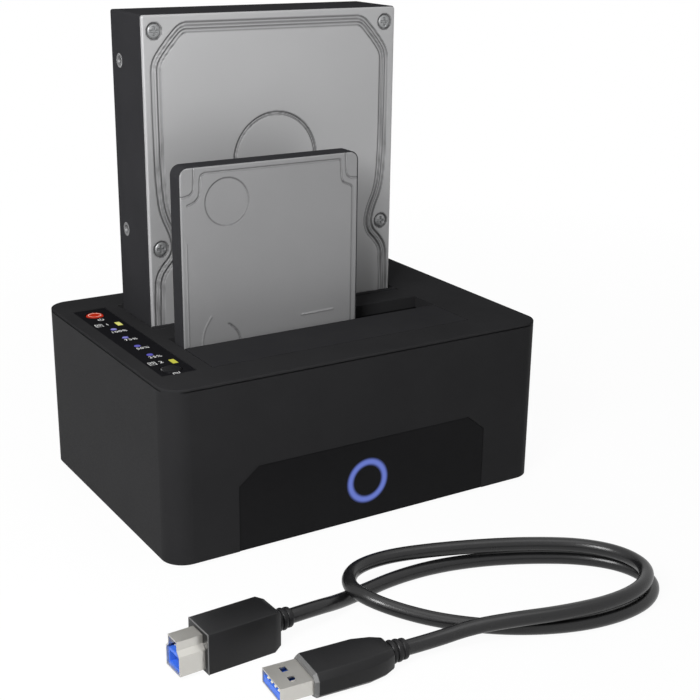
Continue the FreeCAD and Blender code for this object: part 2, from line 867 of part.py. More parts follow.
def chute(label, front, back, drive_back, drive_right):
    """A bay's walls and floor, with ribs that hold the drive upright on its socket."""
    body = new_body(label)
    grow(body, "z", "chute_bottom", "collar_bottom", bay_outline(front, back, "chute_wall"))
    cut(body, "z", "chute_floor_top", "collar_bottom", bay_outline(front, back, "0"))
    cut(body, "z", "chute_bottom", "chute_floor_top", around(
        "connector_x", f"({drive_back} - connector_from_back)",
        "socket_width + 2 * move_gap", "socket_thickness + 2 * move_gap"))
    rib_top = "collar_bottom - rib_drop"
    for x in ("drive_left + rib_inset", f"{drive_right} - rib_inset - rib_width"):
        grow(body, "z", "chute_floor_top", rib_top,
             rect(x, f"{drive_back} + move_gap", f"{x} + rib_width", back))
    side_rib = f"{drive_back} - connector_from_back - rib_width"
    grow(body, "z", "chute_floor_top", rib_top,
         rect("-half_bay", side_rib, "drive_left - move_gap", f"{side_rib} + rib_width"))
    grow(body, "z", "chute_floor_top", rib_top,
         rect("large_right + move_gap", side_rib, "half_bay", f"{side_rib} + rib_width"))
    return body


def blade_spans():
    """Left and right ends of the two contact blades, the short one on the left."""
    total = "(signal_blade_width + blade_gap + power_blade_width)"
    left = f"connector_x - {total} / 2"
    return [
        (left, f"{left} + signal_blade_width"),
        (f"{left} + signal_blade_width + blade_gap", f"{left} + {total}"),
    ]


def drive_socket(label, drive_back):
    """An upright socket on the main board, with a slot for each blade of the drive's plug."""
    body = new_body(label)
    middle = f"({drive_back} - connector_from_back)"
    top = "seat_height + connector_bay_depth - plug_base_height - move_gap"
    grow(body, "z", "board_top", top, around("connector_x", middle, "socket_width", "socket_thickness"))
    slots = [
        rect(f"{low} - move_gap", f"{middle} - blade_thickness / 2 - move_gap",
             f"{high} + move_gap", f"{middle} + blade_thickness / 2 + move_gap")
        for low, high in blade_spans()
    ]
    cut(body, "z", f"{top} - blade_length - move_gap", top, *slots)
    return body


def drive_plug(label, drive_back):
    """The plug in the drive's end: a base with two blades pointing down."""
    body = new_body(label)
    middle = f"({drive_back} - connector_from_back)"
    base = "seat_height + connector_bay_depth - plug_base_height"
    grow(body, "z", base, f"{base} + plug_base_height", around(
        "connector_x", middle, "connector_bay_width", "connector_bay_thickness"))
    blades = [
        rect(low, f"{middle} - blade_thickness / 2", high, f"{middle} + blade_thickness / 2")
        for low, high in blade_spans()
    ]
    grow(body, "z", f"{base} - blade_length", base, *blades)
    return body


# Drives

def cut_drive_end(body, drive_back):
    """The open notch in a drive's lower end for its plug and the socket."""
    middle = f"({drive_back} - connector_from_back)"
    cut(body, "z", "seat_height", "seat_height + connector_bay_depth", rect(
        "connector_x - connector_bay_width / 2", f"{middle} - connector_bay_thickness / 2",
        "connector_x + connector_bay_width / 2", drive_back))


def large_cover_screws(radius):
    """One circle about each of the four screws in the large drive's cover."""
    return [
        (x, z, radius)
        for x in ("drive_left + cover_screw_inset", "large_right - cover_screw_inset")
        for z in ("large_top - cover_screw_top", "large_top - cover_screw_low")
    ]


def large_casting():
    body = new_body("large_drive_casting")
    grow(body, "y", "source_drive_front + large_cover_thickness", "source_drive_back",
         rect("drive_left", "seat_height", "large_right", "large_top"))
    soften(body, "Fillet", "large_corner", along("y"))
    cut(body, "y", "source_drive_back - board_inset", "source_drive_back", rect(
        "drive_left + large_board_side", "seat_height",
        "large_right - large_board_side", "seat_height + large_board_length"))
    cut_drive_end(body, "source_drive_back")
    holes = [
        ("source_drive_back - side_hole_from_back", f"seat_height + {name}", "side_hole_radius")
        for name in ("side_hole_first", "side_hole_second", "side_hole_third")
    ]
    cut(body, "x", "drive_left", "drive_left + side_hole_depth", *holes)
    cut(body, "x", "large_right - side_hole_depth", "large_right", *holes)
    start = "source_drive_front + large_cover_thickness"
    cut(body, "y", start, f"{start} + screw_shank_length",
        *large_cover_screws("screw_shank_radius + thread_gap"))
    return body


def both_sides(left, right, points):
    """A closed outline alike on both sides, from points that say how far in they lie and how high."""
    near = [(f"{left} + ({reach})", level) for reach, level in points]
    far = [(f"{right} - ({reach})", level) for reach, level in reversed(points)]
    return near + far


def press_outline(inset):
    """The large lid's pressed border, set in by an amount, with a step round each lower screw."""
    near = f"(press_inset + {inset})"
    corner = f"(press_corner - {inset} * (2 - sqrt(2)))"
    screw_level = "(large_top - cover_screw_low)"
    top = f"large_top - {near}"
    return both_sides("drive_left", "large_right", [
        (f"{near} + {corner}", top),
        (near, f"{top} - {corner}"),
        (near, f"{screw_level} + press_step_above"),
        (f"{near} + press_step", f"{screw_level} + press_step_half"),
        (f"{near} + press_step", f"{screw_level} - press_step_half"),
        (near, f"{screw_level} - press_step_below"),
        (near, f"seat_height + {near}"),
    ])


def large_cover():
    """The pressed metal lid: a border of two grooves with a rib between them, and a round groove."""
    body = new_body("large_drive_cover")
    face = "source_drive_front"
    grow(body, "y", face, f"{face} + large_cover_thickness", rect(
        "drive_left + large_cover_inset", "seat_height + large_cover_inset",
        "large_right - large_cover_inset", "large_top - large_cover_inset"))
    soften(body, "Fillet", "large_corner", along("y"))
    for start in ("0", "press_width - press_groove"):
        cut(body, "y", face, f"{face} + press_depth",
            press_outline(f"({start})"), press_outline(f"({start} + press_groove)"))
    hub_x = "drive_left + large_width / 2"
    hub_z = "large_top - hub_press_drop"
    cut(body, "y", face, f"{face} + press_depth",
        (hub_x, hub_z, "hub_press_radius"), (hub_x, hub_z, "hub_press_radius - hub_press_width"))
    cut(body, "y", face, f"{face} + large_cover_thickness / 2", *large_cover_screws("screw_well_radius"))
    cut(body, "y", face, f"{face} + large_cover_thickness",
        *large_cover_screws("screw_shank_radius + thread_gap"))
    return body


def large_cover_screw_set():
    body = new_body("large_drive_screws")
    seat = "source_drive_front + large_cover_thickness / 2"
    grow(body, "y", "source_drive_front", seat, *large_cover_screws("screw_head_radius"))
    grow(body, "y", seat, "source_drive_front + large_cover_thickness + screw_shank_length - move_gap",
         *large_cover_screws("screw_shank_radius"))
    arms = ("screw_cross_length", "screw_cross_width")
    for width, height in (arms, reversed(arms)):
        cut(body, "y", "source_drive_front", "source_drive_front + press_depth",
            *[around(x, z, width, height) for x, z, _ in large_cover_screws("0")])
    return body


def large_board():
    body = new_body("large_drive_board")
    seat = "source_drive_back - board_inset"
    grow(body, "y", seat, f"{seat} + board_thickness", rect(
        "drive_left + large_board_side + fit_gap", "seat_height + connector_bay_depth + fit_gap",
        "large_right - large_board_side - fit_gap", "seat_height + large_board_length - fit_gap"))
    return body


def small_casting():
    body = new_body("small_drive_casting")
    middle_level = size("seat_height") + size("small_length") / 2
    grow(body, "y", "target_drive_front + small_cover_thickness", "target_drive_back",
         rect("drive_left", "seat_height", "small_right", "small_top"))
    soften(body, "Fillet", "small_corner", along_above("y", middle_level))
    cut(body, "y", "target_drive_back - small_board_inset", "target_drive_back", rect(
        "drive_left + small_board_side", "seat_height",
        "small_right - small_board_side", "seat_height + small_board_length"))
    cut_drive_end(body, "target_drive_back")
    return body


def small_line(inset):
    """The fine pressed line of the small drive's lid, stepping in under a tab at each upper corner."""
    side = f"(small_line_side + {inset})"
    level = f"(small_top - small_line_side - small_tab_height - {inset})"
    return both_sides("drive_left", "small_right", [
        (f"{side} + small_tab_width", f"small_top - {side}"),
        (f"{side} + small_tab_width", f"{level} + small_tab_bevel"),
        (f"{side} + small_tab_width - small_tab_bevel", level),
        (side, level),
        (side, f"seat_height + small_line_foot + {inset}"),
    ])


def small_cover():
    """The thin lid of the small drive with its round recess and the fine line inside its edge."""
    body = new_body("small_drive_cover")
    face = "target_drive_front"
    middle_level = size("seat_height") + size("small_length") / 2
    grow(body, "y", face, f"{face} + small_cover_thickness", rect(
        "drive_left + small_cover_inset", "seat_height + small_cover_inset",
        "small_right - small_cover_inset", "small_top - small_cover_inset"))
    soften(body, "Fillet", "small_corner - small_cover_inset", along_above("y", middle_level))
    cut(body, "y", face, f"{face} + small_cover_thickness / 2",
        ("drive_left + small_disc_inset", "small_top - small_disc_drop", "small_disc_radius"))
    cut(body, "y", face, f"{face} + small_line_depth", small_line("0"), small_line("small_line_width"))
    return body


def small_board():
    body = new_body("small_drive_board")
    seat = "target_drive_back - small_board_inset"
    grow(body, "y", seat, f"{seat} + small_board_thickness", rect(
        "drive_left + small_board_side + fit_gap", "seat_height + connector_bay_depth + fit_gap",
        "small_right - small_board_side - fit_gap", "seat_height + small_board_length - fit_gap"))
    return body


# Front window

def front_window():
    """The dark inset plate with a ring groove for the light ring."""
    body = new_body("front_window")
    grow(body, "y", "window_front", "window_back", window_outline("fit_gap"))
    cut(body, "y", "window_front", "window_front + ring_depth",
        ("0", "ring_height", "ring_outer + fit_gap / 2"), ("0", "ring_height", "ring_inner - fit_gap / 2"))
    return body


def light_ring():
    body = new_body("light_ring")
    grow(body, "y", "window_front", "window_front + ring_depth",
         ("0", "ring_height", "ring_outer"), ("0", "ring_height", "ring_inner"))
    return body


def ring_light_board():
    body = new_body("ring_light_board")
    face = "-inner_half_depth + move_gap"
    foot = "base_top + move_gap"
    grow(body, "y", face, f"{face} + board_thickness",
         rect("-ring_board_width / 2", foot, "ring_board_width / 2", f"{foot} + ring_board_height"))
    return body


# Main board

def main_board():
    body = new_body("main_board")
    grow(body, "z", "board_level", "board_top",
         rect("-board_half_width", "board_front", "board_half_width", "board_back"))
    soften(body, "Chamfer", "board_thickness", along("z"))
    cut(body, "z", "board_level", "board_top", *board_posts("case_screw_radius + fit_gap"))
    return body


def board_screws():
    body = new_body("board_screws")
    grow(body, "z", "board_top", "board_top + board_screw_height", *board_posts("board_screw_head"))
    grow(body, "z", "board_level - board_screw_depth + move_gap", "board_top",
         *board_posts("case_screw_radius"))
    return body


def bridge_chips():
    body = new_body("bridge_chips")
    grow(body, "z", "board_top", "board_top + chip_height",
         around("chip_x", "board_post_front + chip_side", "chip_side", "chip_side"),
         around("chip_x", "board_post_back - chip_side", "chip_side", "chip_side"))
    return body


def capacitors():
    body = new_body("capacitors")
    cans = [("capacitor_x", f"{index} * capacitor_pitch", "capacitor_radius") for index in (-1, 0, 1)]
    grow(body, "z", "board_top", "board_top + capacitor_height", *cans)
    return body


def usb_socket_shell():
    """The metal shell of the rear data socket, with a stepped mouth."""
    body = new_body("usb_socket_shell")
    grow(body, "y", "usb_back - usb_length", "usb_back",
         around("usb_x", "usb_level", "usb_width", "usb_height"))
    cut(body, "y", "usb_back - usb_mouth_depth", "usb_back",
        around("usb_x", "usb_level", "usb_mouth_width", "usb_mouth_height"))
    return body


def usb_socket_tongue():
    body = new_body("usb_socket_tongue")
    grow(body, "y", "usb_back - usb_mouth_depth", "usb_back - usb_tongue_short",
         around("usb_x", "usb_level - usb_tongue_drop", "usb_tongue_width", "usb_tongue_height"))
    return body


def power_jack():
    """The round power socket: a block with a nose through the rear wall."""
    body = new_body("power_jack")
    grow(body, "y", "inner_half_depth - jack_length - move_gap", "inner_half_depth - move_gap",
         around("jack_x", "jack_level", "jack_width", "jack_height"))
    grow(body, "y", "inner_half_depth - move_gap", "usb_back", ("jack_x", "jack_level", "jack_nose_radius"))
    cut(body, "y", "usb_back - jack_bore_depth", "usb_back", ("jack_x", "jack_level", "jack_bore_radius"))
    return body


def power_jack_pin():
    body = new_body("power_jack_pin")
    grow(body, "y", "usb_back - jack_bore_depth", "usb_back - jack_bore_depth + jack_pin_length",
         ("jack_x", "jack_level", "jack_pin_radius"))
    return body


# Cable

def at_square(body):
    start = CABLE_ROUTE[0]
    place(body, str(start.x), str(start.y), "square_height / 2", V(0, 0, 1), "square_turn")


def at_flat(body):
    end = CABLE_ROUTE[-1]
    place(body, str(end.x), str(end.y), "flat_height / 2", V(0, 0, 1), "flat_turn")


def strain_relief(label, put):
    """A ribbed sleeve between a plug's moulding and the cable."""
    body = new_body(label)
    grow(body, "x", "-relief_length", "0", ("0", "0", "relief_radius"))
    for index in range(3):
        start = f"-relief_length + relief_ring_start + {index} * relief_ring_pitch"
        grow(body, "x", start, f"{start} + relief_ring_width", ("0", "0", "relief_ring_radius"))
    put(body)
    return body


def square_moulding():
    body = new_body("square_plug_moulding")
    grow(body, "x", "square_front", "square_back", around("0", "0", "square_width", "square_height"))
    soften(body, "Fillet", "rim_rounding", along("x"))
    at_square(body)
    return body


def square_profile(inset):
    """The stepped section of the square plug: a bevelled body with a narrower top."""
    half = f"(square_shell_width / 2 - {inset})"
    step = f"(square_step_width / 2 - {inset})"
    low = f"-square_shell_height / 2 + {inset}"
    high = f"square_shell_height / 2 - {inset}"
    ledge = f"{high} - square_step_height"
    bevel = f"{ledge} - (square_shell_width - square_step_width) / 2"
    return [
        (f"-{half}", low), (half, low), (half, bevel), (step, ledge),
        (step, high), (f"-{step}", high), (f"-{step}", ledge), (f"-{half}", bevel),
    ]


def square_shell():
    body = new_body("square_plug_shell")
    grow(body, "x", "square_tip", "square_front", square_profile("0"))
    cut(body, "x", "square_tip", "square_front", square_profile("shell_sheet"))
    at_square(body)
    return body


def square_core():
    """The coloured insert inside the square plug's shell, with the slot for the socket's tongue."""
    body = new_body("square_plug_core")
    tip = "square_tip + square_core_recess"
    half = "(square_shell_width / 2 - core_gap)"
    low = "-square_shell_height / 2 + core_gap"
    bevel = "(square_shell_width - square_step_width) / 2"
    top = f"square_shell_height / 2 - square_step_height - {bevel} - shell_sheet"
    grow(body, "x", tip, "square_front", rect(f"-{half}", low, half, top))
    slot_width = "usb_tongue_width + square_slot_play"
    slot_height = "usb_tongue_height + square_slot_play"
    cut(body, "x", tip, "square_front - square_slot_stop",
        around("0", "-square_slot_drop", slot_width, slot_height))
    at_square(body)
    return body


def flat_moulding():
    """The flat plug's grip, tapering towards the cable."""
    body = new_body("flat_plug_moulding")
    half = "flat_width / 2"
    tail = "flat_tail_width / 2"
    taper = "flat_back - flat_taper_length"
    grow(body, "z", "-flat_height / 2", "flat_height / 2", [
        ("flat_front", f"-{half}"), (taper, f"-{half}"), ("flat_back", f"-{tail}"),
        ("flat_back", tail), (taper, half), ("flat_front", half),
    ])
    surface = size("flat_height") / 2
    soften(body, "Chamfer", "flat_bevel",
           lambda middle, direction: abs(direction.x) > 0.7 and abs(abs(middle.z) - surface) < 0.01)
    at_flat(body)
    return body


def flat_shell():
    """The flat plug's metal shell with its two latch windows."""
    body = new_body("flat_plug_shell")
    grow(body, "x", "flat_tip", "flat_front", around("0", "0", "flat_shell_width", "flat_shell_height"))
    cut(body, "x", "flat_tip", "flat_front", around(
        "0", "0", "flat_shell_width - 2 * shell_sheet", "flat_shell_height - 2 * shell_sheet"))
    windows = [
        around("flat_front - latch_from_grip", f"{side}latch_pitch / 2", "latch_length", "latch_width")
        for side in ("", "-")
    ]
    cut(body, "z", "flat_shell_height / 2 - shell_sheet", "flat_shell_height / 2", *windows)
    at_flat(body)
    return body


def flat_core():
    body = new_body("flat_plug_core")
    grow(body, "x", "flat_tip + flat_core_recess", "flat_front", rect(
        "-flat_shell_width / 2 + core_gap", "-flat_shell_height / 2 + core_gap",
        "flat_shell_width / 2 - core_gap", "-thread_gap"))
    at_flat(body)
    return body


def flat_contacts():
    """The four contacts lying on the flat plug's insert."""
    body = new_body("flat_plug_contacts")
    middle = "flat_tip + contact_from_tip + contact_length / 2"
    strips = [
        around(middle, f"{step} * contact_pitch", "contact_length", "contact_width")
        for step in (-1.5, -0.5, 0.5, 1.5)
    ]
    grow(body, "z", "-thread_gap", "shell_sheet", *strips)
    at_flat(body)
    return body


def cable():
    """A plain tube along straight runs joined by tangent arcs, as large as the runs allow."""
    radius = size("cable_diameter") / 2
    edges = []
    here = CABLE_ROUTE[0]
    length = 0.0
    for before, corner, after in zip(CABLE_ROUTE, CABLE_ROUTE[1:], CABLE_ROUTE[2:]):
        inward = (corner - before).normalize()
        outward = (after - corner).normalize()
        turn = inward.getAngle(outward)
        reach = BEND_SHARE * min((corner - before).Length, (after - corner).Length)
        bend = reach / math.tan(turn / 2)
        start = corner - inward * reach
        end = corner + outward * reach
        middle_way = (outward - inward).normalize()
        centre = corner + middle_way * (bend / math.cos(turn / 2))
        middle = centre - middle_way * bend
        edges.append(Part.LineSegment(here, start).toShape())
        edges.append(Part.Arc(start, middle, end).toShape())
        length += (start - here).Length + bend * turn
        print(f"cable bend {bend:.1f} mm")
        here = end
    edges.append(Part.LineSegment(here, CABLE_ROUTE[-1]).toShape())
    length += (CABLE_ROUTE[-1] - here).Length
    path = Part.Wire(edges)
    first_way = (CABLE_ROUTE[1] - CABLE_ROUTE[0]).normalize()
    section = Part.Wire([Part.Circle(CABLE_ROUTE[0], first_way, radius).toShape()])
    tube = path.makePipeShell([section], True, False)
    wanted = math.pi * radius * radius * length
    print(f"cable length {length:.1f} mm, volume {tube.Volume:.1f} of {wanted:.1f}")
    if abs(tube.Volume - wanted) > 0.01 * wanted:
        raise ValueError("The cable's volume differs from its section times its length")
    node = doc.addObject("Part::Feature", "usb_cable")
    node.Shape = tube
    NODES.append(node)
    return node


# The leaning angle at which the rear flap's free edge rests beside the large drive's face
LEAN = (
    "atan(hinge_drop / flap_reach)"
    " + acos((source_drive_front - move_gap - source_front - hinge_inset)"
    " / sqrt(flap_reach ^ 2 + hinge_drop ^ 2))"
)

housing_shell()
base_plate()
rubber_feet()
case_screws()
top_cover()
control_panel()
for word, level, radius in (("power", "power_y", "power_radius"), ("clone", "clone_y", "clone_radius")):
    button(word + "_button", level, radius)
    plunger(word + "_plunger", level)
    push_switch(word + "_switch", level)
progress_light_pipes()
drive_light_pipe("source_light_pipe", "source_light_y")
drive_light_pipe("target_light_pipe", "target_light_y")
status_lights()
control_board()
for word, lean in (("source", LEAN), ("target", "0")):
    flap(word + "_flap", word + "_front", lean)
    hinge_pin(word + "_hinge_pin", word + "_front")
    flap_spring(word + "_flap_spring", word + "_front")
for word, right in (("source", "large_right"), ("target", "small_right")):
    chute(word + "_chute", word + "_front", word + "_back", word + "_drive_back", right)
    drive_socket(word + "_drive_socket", word + "_drive_back")
large_casting()
large_cover()
large_cover_screw_set()
large_board()
drive_plug("large_drive_plug", "source_drive_back")
small_casting()
small_cover()
small_board()
drive_plug("small_drive_plug", "target_drive_back")
front_window()
light_ring()
ring_light_board()
main_board()
board_screws()
bridge_chips()
capacitors()
usb_socket_shell()
usb_socket_tongue()
power_jack()
power_jack_pin()
strain_relief("square_plug_relief", at_square)
square_moulding()
square_shell()
square_core()
strain_relief("flat_plug_relief", at_flat)
flat_moulding()
flat_shell()
flat_core()
flat_contacts()
cable()

doc.recompute()
for item in doc.Objects:
    if "Invalid" in item.State or "Error" in item.State:
        raise ValueError(f"{item.Name} did not build: {item.State}")
for node in NODES:
    if node.Shape.isNull() or not node.Shape.isValid():
        raise ValueError(f"{node.Label} has no valid shape")

os.makedirs("parts", exist_ok=True)
for node in NODES:
    node.Shape.exportStep(f"parts/{node.Label}.step")
print(len(NODES), "sub-parts written")
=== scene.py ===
import math

import bmesh
import bpy
import numpy as np
from mathutils import Matrix, Vector


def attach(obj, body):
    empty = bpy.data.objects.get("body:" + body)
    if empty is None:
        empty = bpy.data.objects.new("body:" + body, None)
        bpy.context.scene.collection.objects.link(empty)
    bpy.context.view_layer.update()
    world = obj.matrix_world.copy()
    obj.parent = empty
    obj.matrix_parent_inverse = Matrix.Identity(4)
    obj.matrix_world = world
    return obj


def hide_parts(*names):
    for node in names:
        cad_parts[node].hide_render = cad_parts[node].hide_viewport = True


# A two bay drive duplicator with a large and a small drive in it and its data cable in front.
# Metres. X runs to the right along the front, Y to the back, Z up.

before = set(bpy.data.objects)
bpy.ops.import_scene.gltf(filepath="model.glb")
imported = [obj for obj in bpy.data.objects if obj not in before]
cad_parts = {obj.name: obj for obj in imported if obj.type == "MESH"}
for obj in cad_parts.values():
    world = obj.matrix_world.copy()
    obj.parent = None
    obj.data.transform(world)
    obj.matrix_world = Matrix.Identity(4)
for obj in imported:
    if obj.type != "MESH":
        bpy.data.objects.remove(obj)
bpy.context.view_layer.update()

MM = 0.001


# Camera

CAMERA_PLACE = Vector((-0.2287, -0.4050, 0.2070))
CAMERA_YAW = math.radians(32.18)
CAMERA_PITCH = math.radians(18.94)
CAMERA_ROLL = math.radians(0.8)
SENSOR_MM = 36.0
FOCAL_MM = 67.5


def make_camera():
    """The photograph's view, found from the standard sizes of the two drives."""
    data = bpy.data.cameras.new("photo_view")
    data.sensor_width = SENSOR_MM
    data.lens = FOCAL_MM
    camera = bpy.data.objects.new("photo_view", data)
    forward = Vector((
        math.sin(CAMERA_YAW) * math.cos(CAMERA_PITCH),
        math.cos(CAMERA_YAW) * math.cos(CAMERA_PITCH),
        -math.sin(CAMERA_PITCH),
    ))
    level = Vector((math.cos(CAMERA_YAW), -math.sin(CAMERA_YAW), 0))
    upright = level.cross(forward)
    right = level * math.cos(CAMERA_ROLL) + upright * math.sin(CAMERA_ROLL)
    up = upright * math.cos(CAMERA_ROLL) - level * math.sin(CAMERA_ROLL)
    turn = Matrix((right, up, -forward)).transposed()
    camera.matrix_world = Matrix.Translation(CAMERA_PLACE) @ turn.to_4x4()
    bpy.context.collection.objects.link(camera)
    bpy.context.scene.camera = camera


make_camera()


# Materials

def linear(code, alpha=1.0):
    """A six digit sRGB code as a linear colour."""
    parts = [int(code[i:i + 2], 16) / 255 for i in (0, 2, 4)]
    return [c / 12.92 if c <= 0.04045 else ((c + 0.055) / 1.055) ** 2.4 for c in parts] + [alpha]


def add(tree, kind, inputs=None, **fields):
    """One node with its settings, its values and its links."""
    made = tree.nodes.new(kind)
    for name, value in fields.items():
        setattr(made, name, value)
    for name, value in (inputs or {}).items():
        socket = made.inputs[name]
        if isinstance(value, bpy.types.NodeSocket):
            tree.links.new(value, socket)
        else:
            socket.default_value = value
    return made


def per_metre(size_mm):
    """The texture scale at which one feature is this many millimetres."""
    return 1.0 / (size_mm * MM)


def new_material(name):
    """An empty material and its node tree."""
    made = bpy.data.materials.new(name)
    made.use_nodes = True
    made.node_tree.nodes.clear()
    return made, made.node_tree


def blend_colours(tree, factor, first, second):
    """A colour between two. Sockets 0, 6 and 7 are the mix node's factor and its two colours."""
    mix = add(tree, "ShaderNodeMix", {0: factor, 6: first, 7: second}, data_type="RGBA")
    return mix.outputs[2]


def grained(name, light, dark, roughness, grain_mm, depth_mm, gloss=0.5, rough_change=0.08,
            cloud_mm=18.0, stretch=(1, 1, 1), glow=None, steep=None, **sockets):
    """A surface with fine relief, slow changes between two shades and an uneven roughness.

    Gloss is the specular level. Glow is a colour and a strength, and steep the colour of painted shade on
    steep walls.
    """
    made, tree = new_material(name)
    place = add(tree, "ShaderNodeTexCoord").outputs["Object"]
    spread = add(tree, "ShaderNodeMapping", {"Vector": place, "Scale": stretch}).outputs["Vector"]
    cloud = add(tree, "ShaderNodeTexNoise", {
        "Vector": place, "Scale": per_metre(cloud_mm), "Detail": 3.0, "Roughness": 0.55})
    grain = add(tree, "ShaderNodeTexNoise", {
        "Vector": spread, "Scale": per_metre(grain_mm), "Detail": 2.0, "Roughness": 0.6})
    shade = blend_colours(tree, cloud.outputs["Fac"], linear(light), linear(dark))
    # Painted shade: the walls that the mesh's steep attribute marks take the darker steep colour.
    if steep:
        slope = add(tree, "ShaderNodeAttribute", attribute_name="steep").outputs["Fac"]
        shade = blend_colours(tree, slope, shade, linear(steep))
    uneven = add(tree, "ShaderNodeMapRange", {
        "Value": grain.outputs["Fac"], "From Min": 0.3, "From Max": 0.7,
        "To Min": roughness - rough_change, "To Max": roughness + rough_change})
    relief = add(tree, "ShaderNodeBump", {
        "Height": grain.outputs["Fac"], "Strength": 0.6, "Distance": depth_mm * MM})
    surface = add(tree, "ShaderNodeBsdfPrincipled", {
        "Base Color": shade, "Roughness": uneven.outputs["Result"], "Normal": relief.outputs["Normal"],
        "Specular IOR Level": gloss, **sockets})
    if glow:
        surface.inputs["Emission Color"].default_value = linear(glow[0])
        surface.inputs["Emission Strength"].default_value = glow[1]
    add(tree, "ShaderNodeOutputMaterial", {"Surface": surface.outputs["BSDF"]})
    return made


# Moulded ABS with a spark-eroded skin: a soft black sheen that never mirrors.
# The skin's grain of about 0.1 mm is drawn at 0.35 mm so that it shows.
moulded_abs = grained("moulded_abs", "272728", "222223", 0.5, 0.35, 0.012, gloss=0.025)
# The same ABS on the top, etched so dull that it stays dark when seen along its surface.
deck_abs = grained("deck_abs", "2b2b2c", "252526", 0.6, 0.35, 0.02, gloss=0.0)
# The flaps' ABS: as dull as the top and a hair lighter.
flap_abs = grained("flap_abs", "2c2c2d", "262628", 0.55, 0.35, 0.02, gloss=0.0)
# Plain moulded polypropylene inside the bays: dark and dull.
chute_plastic = grained("chute_polypropylene", "0e0e0f", "0a0a0b", 0.6, 0.6, 0.03, gloss=0.1)
# Glass-filled nylon of the sockets, plugs and switches: a little paler, with a fine dry grain.
socket_plastic = grained("glass_filled_nylon", "141415", "0e0e0f", 0.55, 0.25, 0.02, gloss=0.2)
# The clone key's ABS: smoother and darker than the case.
key_plastic = grained("key_abs", "111113", "0c0c0e", 0.4, 0.4, 0.006, gloss=0.04)
# Printed polycarbonate film over the control strip: velvet-finished, darker than the top.
panel_film = grained("polycarbonate_film", "18181a", "141416", 0.5, 0.8, 0.003, gloss=0.0)
# Nitrile rubber feet: dull, with a fine moulded grain.
foot_rubber = grained("nitrile_rubber", "1c1c1d", "151516", 0.8, 0.5, 0.03, gloss=0.2)
# Zinc-plated steel: a cool, slightly clouded metal.
plated_steel = grained("zinc_plated_steel", "9a9b9c", "848586", 0.4, 0.4, 0.003, Metallic=0.55)
# Drawn spring wire: a darker steel with a tighter gloss.
spring_steel = grained("drawn_spring_steel", "8f9092", "77787a", 0.35, 0.2, 0.003, Metallic=1.0)
# Nickel-plated shells of the plugs: bright and nearly neutral, drawn smooth.
nickel_plate = grained("nickel_plate", "cac8c2", "bebcb7", 0.3, 4.0, 0.002, rough_change=0.02, Metallic=0.8)
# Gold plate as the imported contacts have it: a warm, even metal.
gold_plate = grained("gold_plate", "e8d49c", "d8c084", 0.3, 0.3, 0.001, Metallic=0.9)
# The thin gold flash on the plugs' contacts: so pale that it looks nearly white.
pale_contact = grained("gold_flashed_contact", "e6e2d4", "d8d4c6", 0.35, 0.3, 0.001, Metallic=0.2)
# Die-cast aluminium with a matt black electro coat: dark from every side, with an orange-peel skin.
cast_coat = grained("coated_die_casting", "353537", "2d2d2f", 0.5, 0.9, 0.02, gloss=0.0)
# Pressed aluminium sheet, satin: pale, soft highlights, a trace of the rolling direction.
# The walls of its pressed lines take a darker colour, a painted shade, which makes the lines read crisply.
pressed_aluminium = grained("pressed_aluminium", "a8a8a9", "9c9c9d", 0.5, 0.25, 0.002, steep="3c3c3d",
                            rough_change=0.03, cloud_mm=60.0, stretch=(6, 1, 0.4), Metallic=0.35)
# The small drive's stamped sheet: the same satin in a darker grey, with painted shade on the walls of its
# lines.
stamped_aluminium = grained("stamped_aluminium", "8c8c8d", "818182", 0.5, 0.25, 0.002, steep="262627",
                            rough_change=0.03, cloud_mm=50.0, stretch=(6, 1, 0.4), Metallic=0.35)
# The machined bosses round the drive's tapped holes: bare cut aluminium, greyer than the lids.
cut_aluminium = grained("machined_aluminium", "6c6c6d", "5a5a5b", 0.5, 0.2, 0.003, Metallic=0.3)
# Glass-epoxy board under green solder mask, with the tracks showing as faint relief.
solder_mask = grained("solder_mask", "1d4a2c", "153a21", 0.35, 1.2, 0.03, **{"Coat Weight": 0.4})
# Moulded epoxy of the chips: a plain satin black.
chip_resin = grained("moulded_epoxy", "1c1c1d", "151516", 0.5, 0.3, 0.01)
# Drawn aluminium cans of the capacitors: bright, with a soft gloss.
can_aluminium = grained("drawn_aluminium_can", "b4b6b8", "a0a2a4", 0.3, 0.4, 0.004, Metallic=1.0)
# Moulded polyester insert of the plugs: a clean mid blue.
blue_insert = grained("blue_polyester", "3f6fd6", "355fc0", 0.4, 0.4, 0.004, gloss=0.3)
# PVC grip moulded on the plugs: a close dark satin.
grip_pvc = grained("moulded_pvc_grip", "1a1a1b", "141415", 0.4, 0.3, 0.006, gloss=0.2)
# The grip's bevels round the plugs' fronts, paler than the rest: a painted highlight along the front edges.
painted_highlight_pvc = grained("pvc_bevel_painted_highlight", "5a5a5a", "4c4c4c", 0.4, 0.3, 0.004, gloss=0.4)
# Extruded PVC sheath of the cable: satin, a little wavy, with long soft highlights.
cable_pvc = grained("extruded_pvc_sheath", "161617", "101011", 0.3, 1.6, 0.004, gloss=0.4, rough_change=0.03)
# Cast resin of the light chips: pale and a little milky.
light_chip = grained("light_chip_resin", "d8d6cc", "c9c7bc", 0.4, 0.3, 0.003)
# White screen print on the film.
print_ink = grained("white_screen_ink", "cfcfcf", "c2c2c2", 0.6, 0.4, 0.002)
# The progress lights' diffusing polycarbonate: an even violet from within.
violet_glow = grained("lit_violet_pipe", "101014", "0c0c10", 0.4, 0.5, 0.002, gloss=0.03,
                      glow=("5552b4", 0.9))
# The bays' lights in the same plastic: an even, slightly green yellow.
yellow_glow = grained("lit_yellow_pipe", "14140c", "10100a", 0.4, 0.5, 0.002, gloss=0.03,
                      glow=("c2c046", 0.95))
# The power key's translucent cap, lit from below: a full, warm red without a highlight.
red_glow = grained("lit_red_key", "1c0806", "160605", 0.45, 0.5, 0.002, gloss=0.0, glow=("b42c18", 0.9))
